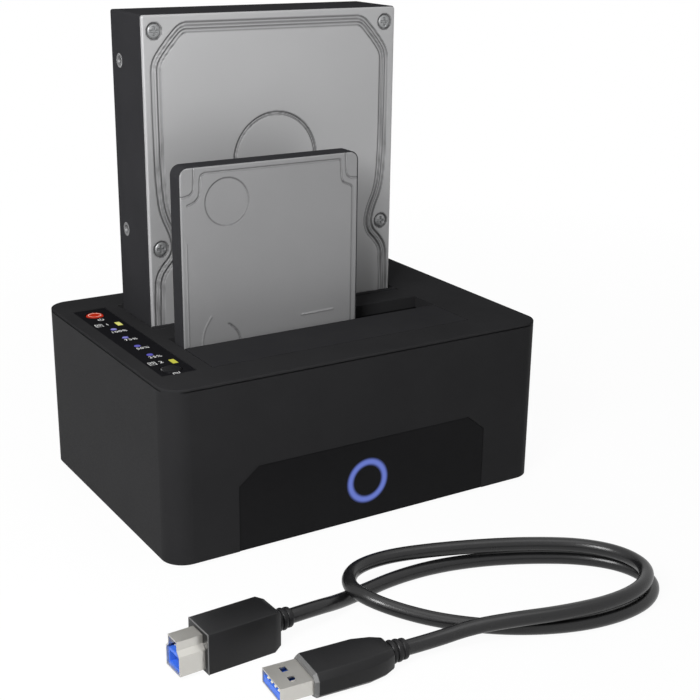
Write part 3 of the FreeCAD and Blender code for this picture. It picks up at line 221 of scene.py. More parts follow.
# The moulded ring let into the power key: a pale, faintly glowing pink.
pale_ring = grained("pale_key_ring", "b47c6c", "a46e60", 0.4, 0.5, 0.002, gloss=0.03, glow=("b87464", 0.3))

# The light ring: its centre's height, its radius, and how far off it the light is full and gone
RING_LEVEL = 15.3 * MM
RING_MIDDLE = 7.0 * MM
RING_FULL = 0.25 * MM
RING_GONE = 1.75 * MM
RING_COLOUR = "6576c6"


def ring_lit(name, light, dark, roughness):
    """The ring's glow, full at its middle and gone a short way off: the ring's own light, painted onto the
    window.
    """
    made, tree = new_material(name)
    place = add(tree, "ShaderNodeTexCoord").outputs["Object"]
    cloud = add(tree, "ShaderNodeTexNoise", {"Vector": place, "Scale": per_metre(25), "Detail": 2.0})
    shade = blend_colours(tree, cloud.outputs["Fac"], linear(light), linear(dark))
    flat = add(tree, "ShaderNodeVectorMath", {0: place, 1: (1, 0, 1)}, operation="MULTIPLY").outputs[0]
    centre = (0, 0, RING_LEVEL)
    reach = add(tree, "ShaderNodeVectorMath", {0: flat, 1: centre}, operation="DISTANCE").outputs["Value"]
    away = add(tree, "ShaderNodeMath", {0: reach, 1: RING_MIDDLE}, operation="SUBTRACT").outputs[0]
    away = add(tree, "ShaderNodeMath", {0: away}, operation="ABSOLUTE").outputs[0]
    share = add(tree, "ShaderNodeMapRange", {
        "Value": away, "From Min": RING_FULL, "From Max": RING_GONE, "To Min": 1.0, "To Max": 0.0},
        interpolation_type="SMOOTHSTEP").outputs["Result"]
    lit = blend_colours(tree, share, linear("000000"), linear(RING_COLOUR))
    surface = add(tree, "ShaderNodeBsdfPrincipled", {
        "Base Color": shade, "Roughness": roughness, "Specular IOR Level": 0.03,
        "Emission Color": lit, "Emission Strength": 1.0})
    add(tree, "ShaderNodeOutputMaterial", {"Surface": surface.outputs["BSDF"]})
    return made


# Polished smoked acrylic: darker and smoother than the wall round it, with the ring's light painted in near
# it.
smoked_acrylic = ring_lit("smoked_acrylic", "1a1a1b", "161617", 0.3)
# Diffusing polycarbonate over the light board: a soft blue band, brightest along its middle.
blue_glow = ring_lit("lit_blue_polycarbonate", "18181a", "141416", 0.4)

NODE_FINISH = {
    moulded_abs: "housing_shell base_plate",
    deck_abs: "top_cover",
    flap_abs: "source_flap target_flap",
    chute_plastic: "source_chute target_chute",
    socket_plastic: "source_drive_socket target_drive_socket large_drive_plug small_drive_plug "
                    "power_switch clone_switch power_plunger clone_plunger power_jack",
    key_plastic: "clone_button",
    panel_film: "control_panel",
    foot_rubber: "rubber_feet",
    plated_steel: "case_screws board_screws source_hinge_pin target_hinge_pin large_drive_screws",
    spring_steel: "source_flap_spring target_flap_spring",
    nickel_plate: "usb_socket_shell power_jack_pin square_plug_shell flat_plug_shell",
    gold_plate: "flat_plug_contacts",
    cast_coat: "large_drive_casting small_drive_casting",
    pressed_aluminium: "large_drive_cover",
    stamped_aluminium: "small_drive_cover",
    solder_mask: "large_drive_board small_drive_board main_board control_board ring_light_board",
    chip_resin: "bridge_chips",
    can_aluminium: "capacitors",
    blue_insert: "usb_socket_tongue square_plug_core flat_plug_core",
    grip_pvc: "square_plug_moulding flat_plug_moulding square_plug_relief flat_plug_relief",
    cable_pvc: "usb_cable",
    light_chip: "status_lights",
    blue_glow: "light_ring",
    violet_glow: "progress_light_pipes",
    yellow_glow: "source_light_pipe target_light_pipe",
    red_glow: "power_button",
    smoked_acrylic: "front_window",
}
for finish, names in NODE_FINISH.items():
    for node_name in names.split():
        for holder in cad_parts[node_name].material_slots:
            holder.material = finish


# Meshes

# Corners closer than this are one, in metres, and edges turning by more than this are rounded
MERGE_DISTANCE = 1e-7
BEVELLED_FROM = math.radians(25)


def smooth(mesh, sharp_degrees=35):
    """Shades a mesh smoothly, but for the edges that turn by more than this."""
    for face in mesh.polygons:
        face.use_smooth = True
    mesh.set_sharp_from_angle(angle=math.radians(sharp_degrees))


def put_in(name, mesh, finish, body, replaces=()):
    """Links a finished mesh as a piece of the object."""
    mesh.materials.clear()
    mesh.materials.append(finish)
    piece = bpy.data.objects.new(name, mesh)
    bpy.context.collection.objects.link(piece)
    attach(piece, body)
    if replaces:
        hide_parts(*replaces)
    return piece


def mesh_of(name, corners, faces, place=Matrix.Identity(4), sharp_degrees=35, bevel=0.0):
    """A closed mesh in metres from corners in millimetres, with rounded edges where asked."""
    shape = bmesh.new()
    made = [shape.verts.new(Vector(c) * MM) for c in corners]
    for face in faces:
        shape.faces.new([made[i] for i in face])
    bmesh.ops.remove_doubles(shape, verts=shape.verts, dist=MERGE_DISTANCE)
    bmesh.ops.recalc_face_normals(shape, faces=shape.faces)
    if bevel:
        edges = [e for e in shape.edges if len(e.link_faces) == 2 and e.calc_face_angle() > BEVELLED_FROM]
        bmesh.ops.bevel(shape, geom=edges, offset=bevel * MM, segments=3, profile=0.5, affect="EDGES",
                        clamp_overlap=True)
        bmesh.ops.recalc_face_normals(shape, faces=shape.faces)
    shape.transform(place)
    mesh = bpy.data.meshes.new(name)
    shape.to_mesh(mesh)
    shape.free()
    smooth(mesh, sharp_degrees)
    return mesh


def loft(name, sections, place, band=False, **options):
    """Joins sections with equal numbers of corners, each (x, [(y, z), ...]).

    Both ends are closed, or the last section is joined to the first to make a band.
    """
    corners = [(x, y, z) for x, points in sections for y, z in points]
    count = len(sections[0][1])
    total = len(sections)
    faces = [] if band else [tuple(range(count)), tuple(range((total - 1) * count, total * count))]
    for ring in range(total if band else total - 1):
        a, b = ring * count, (ring + 1) % total * count
        for i in range(count):
            j = (i + 1) % count
            faces.append((a + i, a + j, b + j, b + i))
    return mesh_of(name, corners, faces, place, **options)


def turned(name, profile, place, steps=48, **options):
    """Turns a profile of (along, radius) about the local X axis. As a band it makes a ring."""
    turns = [2 * math.pi * i / steps for i in range(steps)]
    sections = [(along, [(radius * math.cos(turn), radius * math.sin(turn)) for turn in turns])
                for along, radius in profile]
    return loft(name, sections, place, **options)


def rectangle(left, right, low, high):
    """The four corners of a rectangle, round from the lower left."""
    return [(left, low), (right, low), (right, high), (left, high)]


# Cable and its plugs

CABLE_POINTS = [
    (-61.0, -107.35, 6.5), (-51.5, -107.02, 6.5), (-42.5, -104.0, 4.2), (-31.0, -100.0, 2.5),
    (-17.0, -97.6, 2.5), (-1.5, -98.0, 2.5), (14.5, -102.0, 2.5), (30.0, -109.0, 2.5),
    (44.0, -118.0, 2.5), (52.5, -129.0, 2.5), (53.0, -141.0, 2.5), (44.0, -149.5, 2.5),
    (29.5, -152.0, 2.5), (12.5, -149.2, 2.5), (-4.5, -141.0, 2.5), (-18.5, -130.0, 3.0),
    (-28.5, -121.8, 5.0), (-37.0, -113.0, 7.8), (-38.5, -102.5, 8.3), (-31.0, -94.5, 8.2),
    (-18.0, -92.8, 8.0), (-3.0, -96.5, 8.0), (14.0, -102.8, 8.0), (30.0, -110.5, 8.0),
    (43.0, -119.5, 8.0), (50.0, -130.5, 8.0), (49.5, -142.0, 8.0), (40.0, -149.8, 8.0),
    (25.5, -151.8, 8.0), (8.5, -149.2, 8.0), (-7.0, -144.2, 7.8), (-18.5, -139.2, 6.2),
    (-28.92, -136.6, 4.0), (-39.0, -135.9, 4.0),
]
CABLE_RADIUS = 2.3
# How far each plug is turned on the table, in degrees
SQUARE_TURN = 2.0
FLAT_TURN = -4.0


def end_place(point, turn):
    """Where a plug drawn from its sleeve's end towards -X belongs."""
    return Matrix.Translation(Vector(point) * MM) @ Matrix.Rotation(math.radians(turn), 4, "Z")


SQUARE_PLACE = end_place(CABLE_POINTS[0], SQUARE_TURN)
FLAT_PLACE = end_place(CABLE_POINTS[-1], FLAT_TURN)


def data_cable():
    """The round cable as one smooth curve from the square plug to the flat one."""
    curve = bpy.data.curves.new("data_cable", "CURVE")
    curve.dimensions = "3D"
    curve.bevel_depth = CABLE_RADIUS * MM
    curve.bevel_resolution = 8
    curve.resolution_u = 10
    curve.use_fill_caps = True
    spline = curve.splines.new("NURBS")
    spline.points.add(len(CABLE_POINTS) - 1)
    for point, place in zip(spline.points, CABLE_POINTS):
        point.co = [c * MM for c in place] + [1.0]
    spline.order_u = 3
    spline.use_endpoint_u = True
    curve.materials.append(cable_pvc)
    piece = bpy.data.objects.new("data_cable", curve)
    bpy.context.collection.objects.link(piece)
    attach(piece, "dock")
    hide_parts("usb_cable")
    return piece


SLEEVE_LENGTH = 6.0
SLEEVE_RADIUS = 2.8
SLEEVE_END_RADIUS = 3.15
RIB_HALF = 0.72
RIB_STEPS = 8
# The ribs of a sleeve: where each starts and its radius
RIBS = ((-5.7, 3.55), (-3.75, 3.4), (-1.85, 3.15))


def ribbed_sleeve(name, place, node):
    """A sleeve with three rounded ribs that grow smaller towards the cable."""
    profile = [(-SLEEVE_LENGTH, 0.0), (-SLEEVE_LENGTH, SLEEVE_END_RADIUS)]
    for start, radius in RIBS:
        for step in range(RIB_STEPS + 1):
            angle = math.pi * step / RIB_STEPS
            along = start + RIB_HALF - RIB_HALF * math.cos(angle)
            profile.append((along, SLEEVE_RADIUS + (radius - SLEEVE_RADIUS) * math.sin(angle) ** 0.6))
    profile += [(-0.25, 2.7), (0.0, 2.5), (0.0, 0.0)]
    mesh = turned(name, profile, place)
    return put_in(name, mesh, grip_pvc, "dock", [node])


# Both plugs are drawn from the cable's end towards their mouth, along -X.
# The square plug's moulding, from front to sleeve: along, half width, half height
SQUARE_GRIP = ((-30.45, 5.97, 6.47), (-8.6, 5.97, 6.47), (-6.0, 5.0, 5.3))
# The paler band round its front edge, a painted highlight, in the same order
SQUARE_RIM = ((-30.5, 5.75, 6.25), (-30.25, 6.0, 6.5), (-30.1, 5.9, 6.4), (-30.3, 5.6, 6.1))
# The flat plug's moulding, from front to sleeve: along, half width, top, bottom, corner cut
FLAT_GRIP = (
    (-31.5, 7.5, 4.0, -4.0, 1.8), (-15.0, 7.5, 4.0, -4.0, 1.8), (-9.5, 6.2, 3.75, -4.0, 1.6),
    (-6.6, 4.8, 3.45, -3.7, 1.4), (-6.0, 4.3, 3.1, -3.4, 1.2),
)
# The paler bevel round its front, a painted highlight, in the same order
FLAT_RIM = ((-32.5, 6.75, 3.25, -3.25, 1.5), (-31.5, 7.45, 3.95, -3.95, 1.8), (-31.0, 7.3, 3.8, -3.8, 1.8))


def box_section(half_width, half_height):
    """A rectangle round the plug's axis."""
    return rectangle(-half_width, half_width, -half_height, half_height)


def cut_section(half_width, top, bottom, cut):
    """A rectangle with its four corners cut off."""
    return [
        (-half_width + cut, bottom), (half_width - cut, bottom), (half_width, bottom + cut),
        (half_width, top - cut), (half_width - cut, top), (-half_width + cut, top),
        (-half_width, top - cut), (-half_width, bottom + cut),
    ]


def square_grip():
    """The square plug's moulding, bevelled behind, and a paler edge round its front, a painted highlight."""
    sections = [(along, box_section(*shape)) for along, *shape in SQUARE_GRIP]
    grip = put_in("square_grip", loft("square_grip", sections, SQUARE_PLACE, bevel=0.3), grip_pvc,
                  "dock", ["square_plug_moulding"])
    sections = [(along, box_section(*shape)) for along, *shape in SQUARE_RIM]
    mesh = loft("square_rim", sections, SQUARE_PLACE, band=True)
    return [grip, put_in("square_rim", mesh, painted_highlight_pvc, "dock")]


def flat_grip():
    """The flat plug's moulding, tapering behind, and a paler bevel round its front, a painted highlight."""
    sections = [(along, cut_section(*shape)) for along, *shape in FLAT_GRIP]
    grip = put_in("flat_grip", loft("flat_grip", sections, FLAT_PLACE, bevel=0.25), grip_pvc,
                  "dock", ["flat_plug_moulding"])
    sections = [(along, cut_section(*shape)) for along, *shape in FLAT_RIM]
    return [grip, put_in("flat_rim", loft("flat_rim", sections, FLAT_PLACE), painted_highlight_pvc, "dock")]


# The square plug's insert: its ends along the plug, its outline, its slot, and the tongue and pins above
INSERT_FRONT = -37.9
INSERT_BACK = -30.5
INSERT_FRAME = rectangle(-3.8, 3.8, -4.8, 0.75)
INSERT_SLOT = rectangle(-3.0, 3.0, -3.9, -0.3)
SLOT_WALL = 1.0
TONGUE_FRONT = -36.6
TONGUE_BACK = -30.6
TONGUE = rectangle(-2.1, 2.1, 2.0, 4.3)
PIN_HALF = 0.22
PIN_LEVEL = 1.55
PIN_PITCH = 0.85
PIN_COUNT = 5
# A spring contact of the square plug: along, and its lower and upper face above the pins' level
SPRING_PIN = ((-36.9, 0.0, 0.25), (-36.2, -0.2, 0.1), (-30.6, 0.1, 0.4))


def put_pin(index, side):
    """One spring contact of the square plug, lying under the tongue."""
    name = f"square_pin_{index + 1}"
    sections = [(along, rectangle(side - PIN_HALF, side + PIN_HALF, PIN_LEVEL + low, PIN_LEVEL + high))
                for along, low, high in SPRING_PIN]
    return put_in(name, loft(name, sections, SQUARE_PLACE), pale_contact, "dock")


def square_insert():
    """The blue insert of the square plug: a frame round the lower slot and a tongue above with pins."""
    corners = [(x, y, z) for x in (INSERT_FRONT, INSERT_BACK) for y, z in INSERT_FRAME]
    corners += [(x, y, z) for x in (INSERT_FRONT, INSERT_BACK + SLOT_WALL) for y, z in INSERT_SLOT]
    faces = [(4, 5, 6, 7), (12, 13, 14, 15)]
    for i in range(4):
        j = (i + 1) % 4
        faces += [(i, j, 4 + j, 4 + i), (8 + i, 8 + j, 12 + j, 12 + i), (i, j, 8 + j, 8 + i)]
    mesh = mesh_of("square_insert", corners, faces, SQUARE_PLACE)
    frame_piece = put_in("square_insert", mesh, blue_insert, "dock", ["square_plug_core"])
    sections = [(TONGUE_FRONT, TONGUE), (TONGUE_BACK, TONGUE)]
    tongue = put_in("square_tongue", loft("square_tongue", sections, SQUARE_PLACE, bevel=0.15), blue_insert,
                    "dock")
    pins = [put_pin(index, PIN_PITCH * (index - (PIN_COUNT - 1) / 2)) for index in range(PIN_COUNT)]
    return [frame_piece, tongue] + pins


FLAT_PIN_COUNT = 4
FLAT_PIN_PITCH = 2.3
FLAT_PIN_HALF = 0.5
FLAT_PIN_THICK = 0.3
# A contact of the flat plug from its mouth inwards: along, and the level of its lower face
FLAT_PIN_LINE = ((-41.9, 0.0), (-41.1, 0.35), (-39.8, 0.3), (-38.0, 0.0), (-35.5, 0.0))


def flat_pins():
    """The four contacts of the flat plug, bowed up at the mouth, joined to one piece."""
    shape = bmesh.new()
    for index in range(FLAT_PIN_COUNT):
        side = FLAT_PIN_PITCH * (index - (FLAT_PIN_COUNT - 1) / 2)
        left, right = side - FLAT_PIN_HALF, side + FLAT_PIN_HALF
        sections = [(along, rectangle(left, right, low, low + FLAT_PIN_THICK))
                    for along, low in FLAT_PIN_LINE]
        part = loft("flat_pin", sections, FLAT_PLACE)
        shape.from_mesh(part)
        bpy.data.meshes.remove(part)
    mesh = bpy.data.meshes.new("flat_pins")
    shape.to_mesh(mesh)
    shape.free()
    smooth(mesh)
    return put_in("flat_pins", mesh, pale_contact, "dock", ["flat_plug_contacts"])


cable = data_cable()
square_sleeve = ribbed_sleeve("square_sleeve", SQUARE_PLACE, "square_plug_relief")
flat_sleeve = ribbed_sleeve("flat_sleeve", FLAT_PLACE, "flat_plug_relief")
plug_pieces = [square_sleeve, flat_sleeve, *square_grip(), *flat_grip(), *square_insert(), flat_pins()]


# Drive lids

# Both drives share their left side and the level they stand on. The rest is each lid's outline.
DRIVE_LEFT = -50.8
SEAT = 23.0
LARGE_RIGHT = 50.8
LARGE_TOP = 170.0
LARGE_FACE = 11.0
LARGE_INSET = 0.25
LARGE_CORNER = 0.8
SMALL_RIGHT = 19.05
SMALL_TOP = 123.2
SMALL_FACE = -15.5
SMALL_INSET = 0.4
SMALL_CORNER = 3.1
# A wall counts as steep, and gets the painted shade, from this slope on, and fully at this one
STEEP_FROM = 0.4 / 1.7
STEEP_FULL = 1.4 / 1.7


def rounded(points, closed=True, times=2):
    """Cuts the corners of a line again and again until it runs smoothly."""
    line = np.array(points, float)
    for _ in range(times):
        after = np.roll(line, -1, axis=0)
        cut = np.stack([line * 0.75 + after * 0.25, line * 0.25 + after * 0.75], axis=1)
        if closed:
            line = cut.reshape(-1, 2)
        else:
            line = np.concatenate([line[:1], cut[:-1].reshape(-1, 2), line[-1:]])
    return line


def distance_to(line, x, z, closed=True):
    """How far each point of a grid lies from a line."""
    line = np.asarray(line, float)
    ends = np.roll(line, -1, axis=0) if closed else line[1:]
    starts = line if closed else line[:-1]
    nearest = np.full(x.shape, 1e9)
    for a, b in zip(starts, ends):
        way = b - a
        t = np.clip(((x - a[0]) * way[0] + (z - a[1]) * way[1]) / max(way @ way, 1e-12), 0, 1)
        nearest = np.minimum(nearest, np.hypot(x - a[0] - t * way[0], z - a[1] - t * way[1]))
    return nearest


def step_down(distance, edge, soft):
    """One inside the edge and zero outside it, with a soft shoulder."""
    t = np.clip((edge + soft / 2 - distance) / soft, 0, 1)
    return t * t * (3 - 2 * t)


def pressed_lid(name, low, high, front, back, corner, step, roll, relief):
    """A fine sheet whose face sinks by relief(x, z), with rolled edges, side walls and a flat back.

    Its attribute "steep" is one on the walls of the pressed lines and zero on the flat; it places their
    painted shade.
    """
    columns = round((high[0] - low[0]) / step) + 1
    rows = round((high[1] - low[1]) / step) + 1
    x, z = np.meshgrid(np.linspace(low[0], high[0], columns), np.linspace(low[1], high[1], rows))
    border = np.minimum.reduce([x - low[0], high[0] - x, z - low[1], high[1] - z])
    inner_x = np.clip(x, low[0] + corner, high[0] - corner)
    inner_z = np.clip(z, low[1] + corner, high[1] - corner)
    u, v = (x - inner_x) / corner, (z - inner_z) / corner
    x, z = inner_x + corner * u * np.sqrt(1 - v * v / 2), inner_z + corner * v * np.sqrt(1 - u * u / 2)
    t = np.clip(border / roll, 0, 1)
    sunk = relief(x, z)
    slope = np.hypot(*np.gradient(sunk, step)).ravel()
    steep = np.clip((slope - STEEP_FROM) / (STEEP_FULL - STEEP_FROM), 0, 1)
    y = front + roll * (1 - np.sqrt(np.maximum(1 - (1 - t) ** 2, 0))) + sunk
    corners = np.stack([x, y, z], axis=-1).reshape(-1, 3).tolist()
    at = np.arange(rows * columns).reshape(rows, columns)
    faces = np.stack([at[:-1, :-1], at[:-1, 1:], at[1:, 1:], at[1:, :-1]], axis=-1).reshape(-1, 4).tolist()
    rim = np.concatenate([at[0, :-1], at[:-1, -1], at[-1, :0:-1], at[:0:-1, 0]])
    first = len(corners)
    corners += [[corners[i][0], back, corners[i][2]] for i in rim]
    count = len(rim)
    for i in range(count):
        j = (i + 1) % count
        faces.append([rim[j], rim[i], first + i, first + j])
    faces.append([first + i for i in range(count)])
    mesh = mesh_of(name, corners, faces, sharp_degrees=50)
    values = np.zeros(len(mesh.vertices))
    values[:len(steep)] = steep
    mesh.attributes.new("steep", "FLOAT", "POINT").data.foreach_set("value", values)
    return mesh


# The pressed border seen from the drive's left side: how far in from the side, and the height
BORDER = [
    (3.2, 30.0), (3.2, 61.5), (3.5, 74.5), (3.9, 79.0), (6.3, 82.6), (9.2, 85.4), (10.5, 88.6),
    (10.3, 92.0), (8.9, 96.4), (6.9, 100.6), (5.6, 106.0), (4.9, 116.6), (4.7, 131.5), (4.7, 148.0),
    (4.7, 152.6), (6.0, 155.8), (12.2, 163.0), (15.0, 165.4), (19.0, 165.4),
]
BORDER_FOOT = 27.6
# The border is a channel with a ridge along its middle, level with the sheet: a groove on each side.
CHANNEL_HALF = 1.65
GROOVE_WIDTH = 1.15
GROOVE_DEPTH = 0.5
# The hub's round groove: how far its middle lies below the drive's top, its radius and half its width
HUB_DOWN = 52.4
HUB_RADIUS = 16.5
HUB_GROOVE_HALF = 0.45
# The screws of the lid and their wells
SCREW_SIDE = 4.7
SCREW_LEVELS = (164.5, 89.4)
WELL_RADIUS = 2.75
WELL_DEPTH = 0.6
DEEPEST = 0.65
# The small lid's pressed lines: how far in from the left side, and how far down from the top
SMALL_LINES = (
    ((2.9, 12.9), (5.6, 12.0), (7.2, 10.4), (7.6, 8.0), (7.7, 5.0), (7.9, 3.2), (9.2, 2.5), (12.0, 2.45),
     (61.6, 2.45), (62.3, 2.6), (62.6, 4.0), (62.8, 9.0), (63.4, 10.8), (66.6, 12.0), (67.4, 12.8),
     (67.5, 15.0), (67.5, 96.0)),
    ((0.3, 10.1), (3.2, 9.8), (4.6, 8.9), (5.3, 7.6), (5.5, 0.3)),
    ((64.5, 0.3), (64.7, 6.6), (65.2, 8.6), (66.6, 9.5), (69.5, 9.6)),
    ((17.5, 56.0), (19.8, 57.8), (21.6, 60.4), (22.4, 64.5)),
)
SMALL_RIDGES = (
    ((7.2, 63.6), (7.4, 60.0), (8.4, 56.4), (10.9, 52.6)), ((46.6, 57.2), (59.6, 57.0)),
    ((2.2, 26.0), (2.2, 62.0)),
)
LINE_DEPTH = 0.28
RIDGE_HEIGHT = 0.18
# Its round recess, placed in the same way
RECESS_SIDE = 17.6
RECESS_DOWN = 12.9
RECESS_RADIUS = 8.2
RECESS_DEPTH = 0.3


def large_relief(x, z):
    """The pressed border, the round groove over the hub and the wells of the four screws."""
    left = [(DRIVE_LEFT + side, level) for side, level in BORDER]
    right = [(LARGE_RIGHT - side, level) for side, level in reversed(BORDER)]
    foot = [(LARGE_RIGHT - BORDER[0][0] - 3, BORDER_FOOT), (DRIVE_LEFT + BORDER[0][0] + 3, BORDER_FOOT)]
    border = distance_to(rounded(left + right + foot), x, z)
    from_groove = np.abs(border - CHANNEL_HALF + GROOVE_WIDTH / 2)
    depth = GROOVE_DEPTH * step_down(from_groove, GROOVE_WIDTH / 2, 0.4)
    hub = np.abs(np.hypot(x, z - (LARGE_TOP - HUB_DOWN)) - HUB_RADIUS)
    depth += GROOVE_DEPTH * step_down(hub, HUB_GROOVE_HALF, 0.4)
    for screw_x in (DRIVE_LEFT + SCREW_SIDE, LARGE_RIGHT - SCREW_SIDE):
        for screw_z in SCREW_LEVELS:
            depth += WELL_DEPTH * step_down(np.hypot(x - screw_x, z - screw_z), WELL_RADIUS, 0.35)
    return np.minimum(depth, DEEPEST)


def along_lines(lines, x, z, half, soft):
    """One on the small lid's lines and zero beside them."""
    total = np.zeros(x.shape)
    for line in lines:
        path = rounded([(DRIVE_LEFT + side, SMALL_TOP - down) for side, down in line], closed=False)
        total += step_down(distance_to(path, x, z, closed=False), half, soft)
    return total


def small_relief(x, z):
    """The round recess, the stepped border line, the corner tabs and the faint marks below."""
    recess = np.hypot(x - DRIVE_LEFT - RECESS_SIDE, z - SMALL_TOP + RECESS_DOWN)
    depth = RECESS_DEPTH * step_down(recess, RECESS_RADIUS, 0.35)
    depth += LINE_DEPTH * along_lines(SMALL_LINES, x, z, half=0.22, soft=0.3)
    depth -= RIDGE_HEIGHT * along_lines(SMALL_RIDGES, x, z, half=0.2, soft=0.4)
    return np.maximum(depth + RIDGE_HEIGHT, 0)


def place_lids():
    """The pressed lids of both drives in place of the plain ones."""
    mesh = pressed_lid(
        "large_lid", (DRIVE_LEFT + LARGE_INSET, SEAT + LARGE_INSET),
        (LARGE_RIGHT - LARGE_INSET, LARGE_TOP - LARGE_INSET), front=LARGE_FACE, back=LARGE_FACE + 1.2,
        corner=LARGE_CORNER, step=0.4, roll=0.35, relief=large_relief,
    )
    put_in("large_lid", mesh, pressed_aluminium, "large_drive", ["large_drive_cover"])
    mesh = pressed_lid(
        "small_lid", (DRIVE_LEFT + SMALL_INSET, SEAT + SMALL_INSET),
        (SMALL_RIGHT - SMALL_INSET, SMALL_TOP - SMALL_INSET), front=SMALL_FACE, back=SMALL_FACE + 0.6,
        corner=SMALL_CORNER, step=0.3, roll=0.3, relief=small_relief,
    )
    put_in("small_lid", mesh, stamped_aluminium, "small_drive", ["small_drive_cover"])


place_lids()


# Screws

def repeat_tree():
    """Sets one shape on every point, all turned and sized alike, and gives them their finish."""
    tree = bpy.data.node_groups.new("repeat_on_points", "GeometryNodeTree")
    for name, kind in (("Points", "Geometry"), ("Shape", "Object"), ("Turn", "Vector"), ("Size", "Float"),
                       ("Finish", "Material")):
        tree.interface.new_socket(name, in_out="INPUT", socket_type="NodeSocket" + kind)
    tree.interface.new_socket("Geometry", in_out="OUTPUT", socket_type="NodeSocketGeometry")
    given = tree.nodes.new("NodeGroupInput").outputs
    shape = add(tree, "GeometryNodeObjectInfo", {"Object": given["Shape"]}).outputs["Geometry"]
    turn = add(tree, "FunctionNodeEulerToRotation", {"Euler": given["Turn"]}).outputs["Rotation"]
    placed = add(tree, "GeometryNodeInstanceOnPoints", {
        "Points": given["Points"], "Instance": shape, "Rotation": turn, "Scale": given["Size"]}).outputs[0]
    solid = add(tree, "GeometryNodeRealizeInstances", {"Geometry": placed}).outputs[0]
    painted = add(tree, "GeometryNodeSetMaterial", {"Geometry": solid, "Material": given["Finish"]})
    out = tree.nodes.new("NodeGroupOutput")
    tree.links.new(painted.outputs[0], out.inputs["Geometry"])
    return tree


REPEAT = repeat_tree()


def repeated(name, shape, points, turn, size, finish):
    """The plain mesh of one shape repeated on points given in millimetres."""
    holder = bpy.data.objects.new(name, bpy.data.meshes.new(name))
    holder.data.from_pydata([[c * MM for c in point] for point in points], [], [])
    bpy.context.collection.objects.link(holder)
    pattern = bpy.data.objects.new(name + "_pattern", shape)
    bpy.context.collection.objects.link(pattern)
    modifier = holder.modifiers.new("repeat", "NODES")
    modifier.node_group = REPEAT
    values = {"Shape": pattern, "Turn": turn, "Size": size, "Finish": finish}
    for item in REPEAT.interface.items_tree:
        if item.in_out == "INPUT" and item.name in values:
            modifier[item.identifier] = values[item.name]
    mesh = bpy.data.meshes.new_from_object(holder.evaluated_get(bpy.context.evaluated_depsgraph_get()))
    mesh.name = name
    for helper in (holder, pattern):
        bpy.data.objects.remove(helper)
    return mesh


CASE_SCREW_X = 68.3
CASE_SCREW_Y = 28.0
CASE_SCREW_LEVEL = 2.1
CASE_SCREW_RADIUS = 2.45
LID_SCREW_RADIUS = 2.4
LID_SCREW_SUNK = 0.55
# A screw's head measured in its own radius: its dome, its rounded edge and its cross
HEAD_HEIGHT = 0.34
DOME_FALL = 0.22
EDGE_WIDTH = 0.1
EDGE_FALL = 0.12
ARM_HALF = 0.2
ARM_REACH = 0.68
CROSS_DEPTH = 0.3
# Its underside and shank: radius and level
SHANK = ((1.0, -0.35), (0.45, -0.35), (0.45, -1.0))


def cross_screw():
    """A round head of unit radius along +Z with a cross recess and a short shank."""
    rings, steps = 16, 48
    corners, faces = [], []
    for ring in range(rings + 1):
        reach = ring / rings
        for step in range(steps):
            angle = 2 * math.pi * step / steps
            x, y = reach * math.cos(angle), reach * math.sin(angle)
            edge = max(0.0, (reach - 1 + EDGE_WIDTH) / EDGE_WIDTH)
            level = HEAD_HEIGHT - DOME_FALL * reach ** 2 - EDGE_FALL * edge ** 2
            across = max(0.0, min(1.0, (ARM_HALF - min(abs(x), abs(y))) / 0.07))
            along = max(0.0, min(1.0, (ARM_REACH - max(abs(x), abs(y))) / 0.1))
            corners.append((x, y, level - CROSS_DEPTH * across * along))
    for ring in range(rings):
        for step in range(steps):
            a, b = ring * steps + step, ring * steps + (step + 1) % steps
            faces.append((a, a + steps, b + steps, b))
    rim = rings * steps
    for radius, level in SHANK:
        first = len(corners)
        for step in range(steps):
            angle = 2 * math.pi * step / steps
            corners.append((radius * math.cos(angle), radius * math.sin(angle), level))
        for step in range(steps):
            b = (step + 1) % steps
            faces.append((rim + step, first + step, first + b, rim + b))
        rim = first
    faces.append(tuple(rim + step for step in range(steps)))
    mesh = mesh_of("cross_screw", corners, faces)
    mesh.transform(Matrix.Scale(1 / MM, 4))
    return mesh


def place_screws():
    """The four screws of the large drive's lid and the four under the case."""
    shape = cross_screw()
    points = [(x, LARGE_FACE + LID_SCREW_SUNK, z) for x in (DRIVE_LEFT + SCREW_SIDE, LARGE_RIGHT - SCREW_SIDE)
              for z in SCREW_LEVELS]
    turn = (math.radians(90), 0, 0)
    mesh = repeated("lid_screws", shape, points, turn, LID_SCREW_RADIUS * MM, plated_steel)
    smooth(mesh)
    put_in("lid_screws", mesh, plated_steel, "large_drive", ["large_drive_screws"])
    points = [(x, y, CASE_SCREW_LEVEL) for x in (-CASE_SCREW_X, CASE_SCREW_X)
              for y in (-CASE_SCREW_Y, CASE_SCREW_Y)]
    turn = (math.radians(180), 0, 0)
    mesh = repeated("case_screw_heads", shape, points, turn, CASE_SCREW_RADIUS * MM, plated_steel)
    smooth(mesh)
    put_in("case_screw_heads", mesh, plated_steel, "dock", ["case_screws"])


place_screws()


# Tapped side holes of the large drive

SIDE_HOLE_Y = 30.75
SIDE_HOLE_LEVELS = (51.5, 93.1, 153.1)
THREAD_CREST = 1.18
THREAD_ROOT = 1.34
THREAD_STEP = 0.4
THREAD_STEPS = 8
SLEEVE_BACK = 3.9
BORE_DEPTH = 3.7
BOSS_RADIUS = 2.6
BOSS_PROUD = 0.03


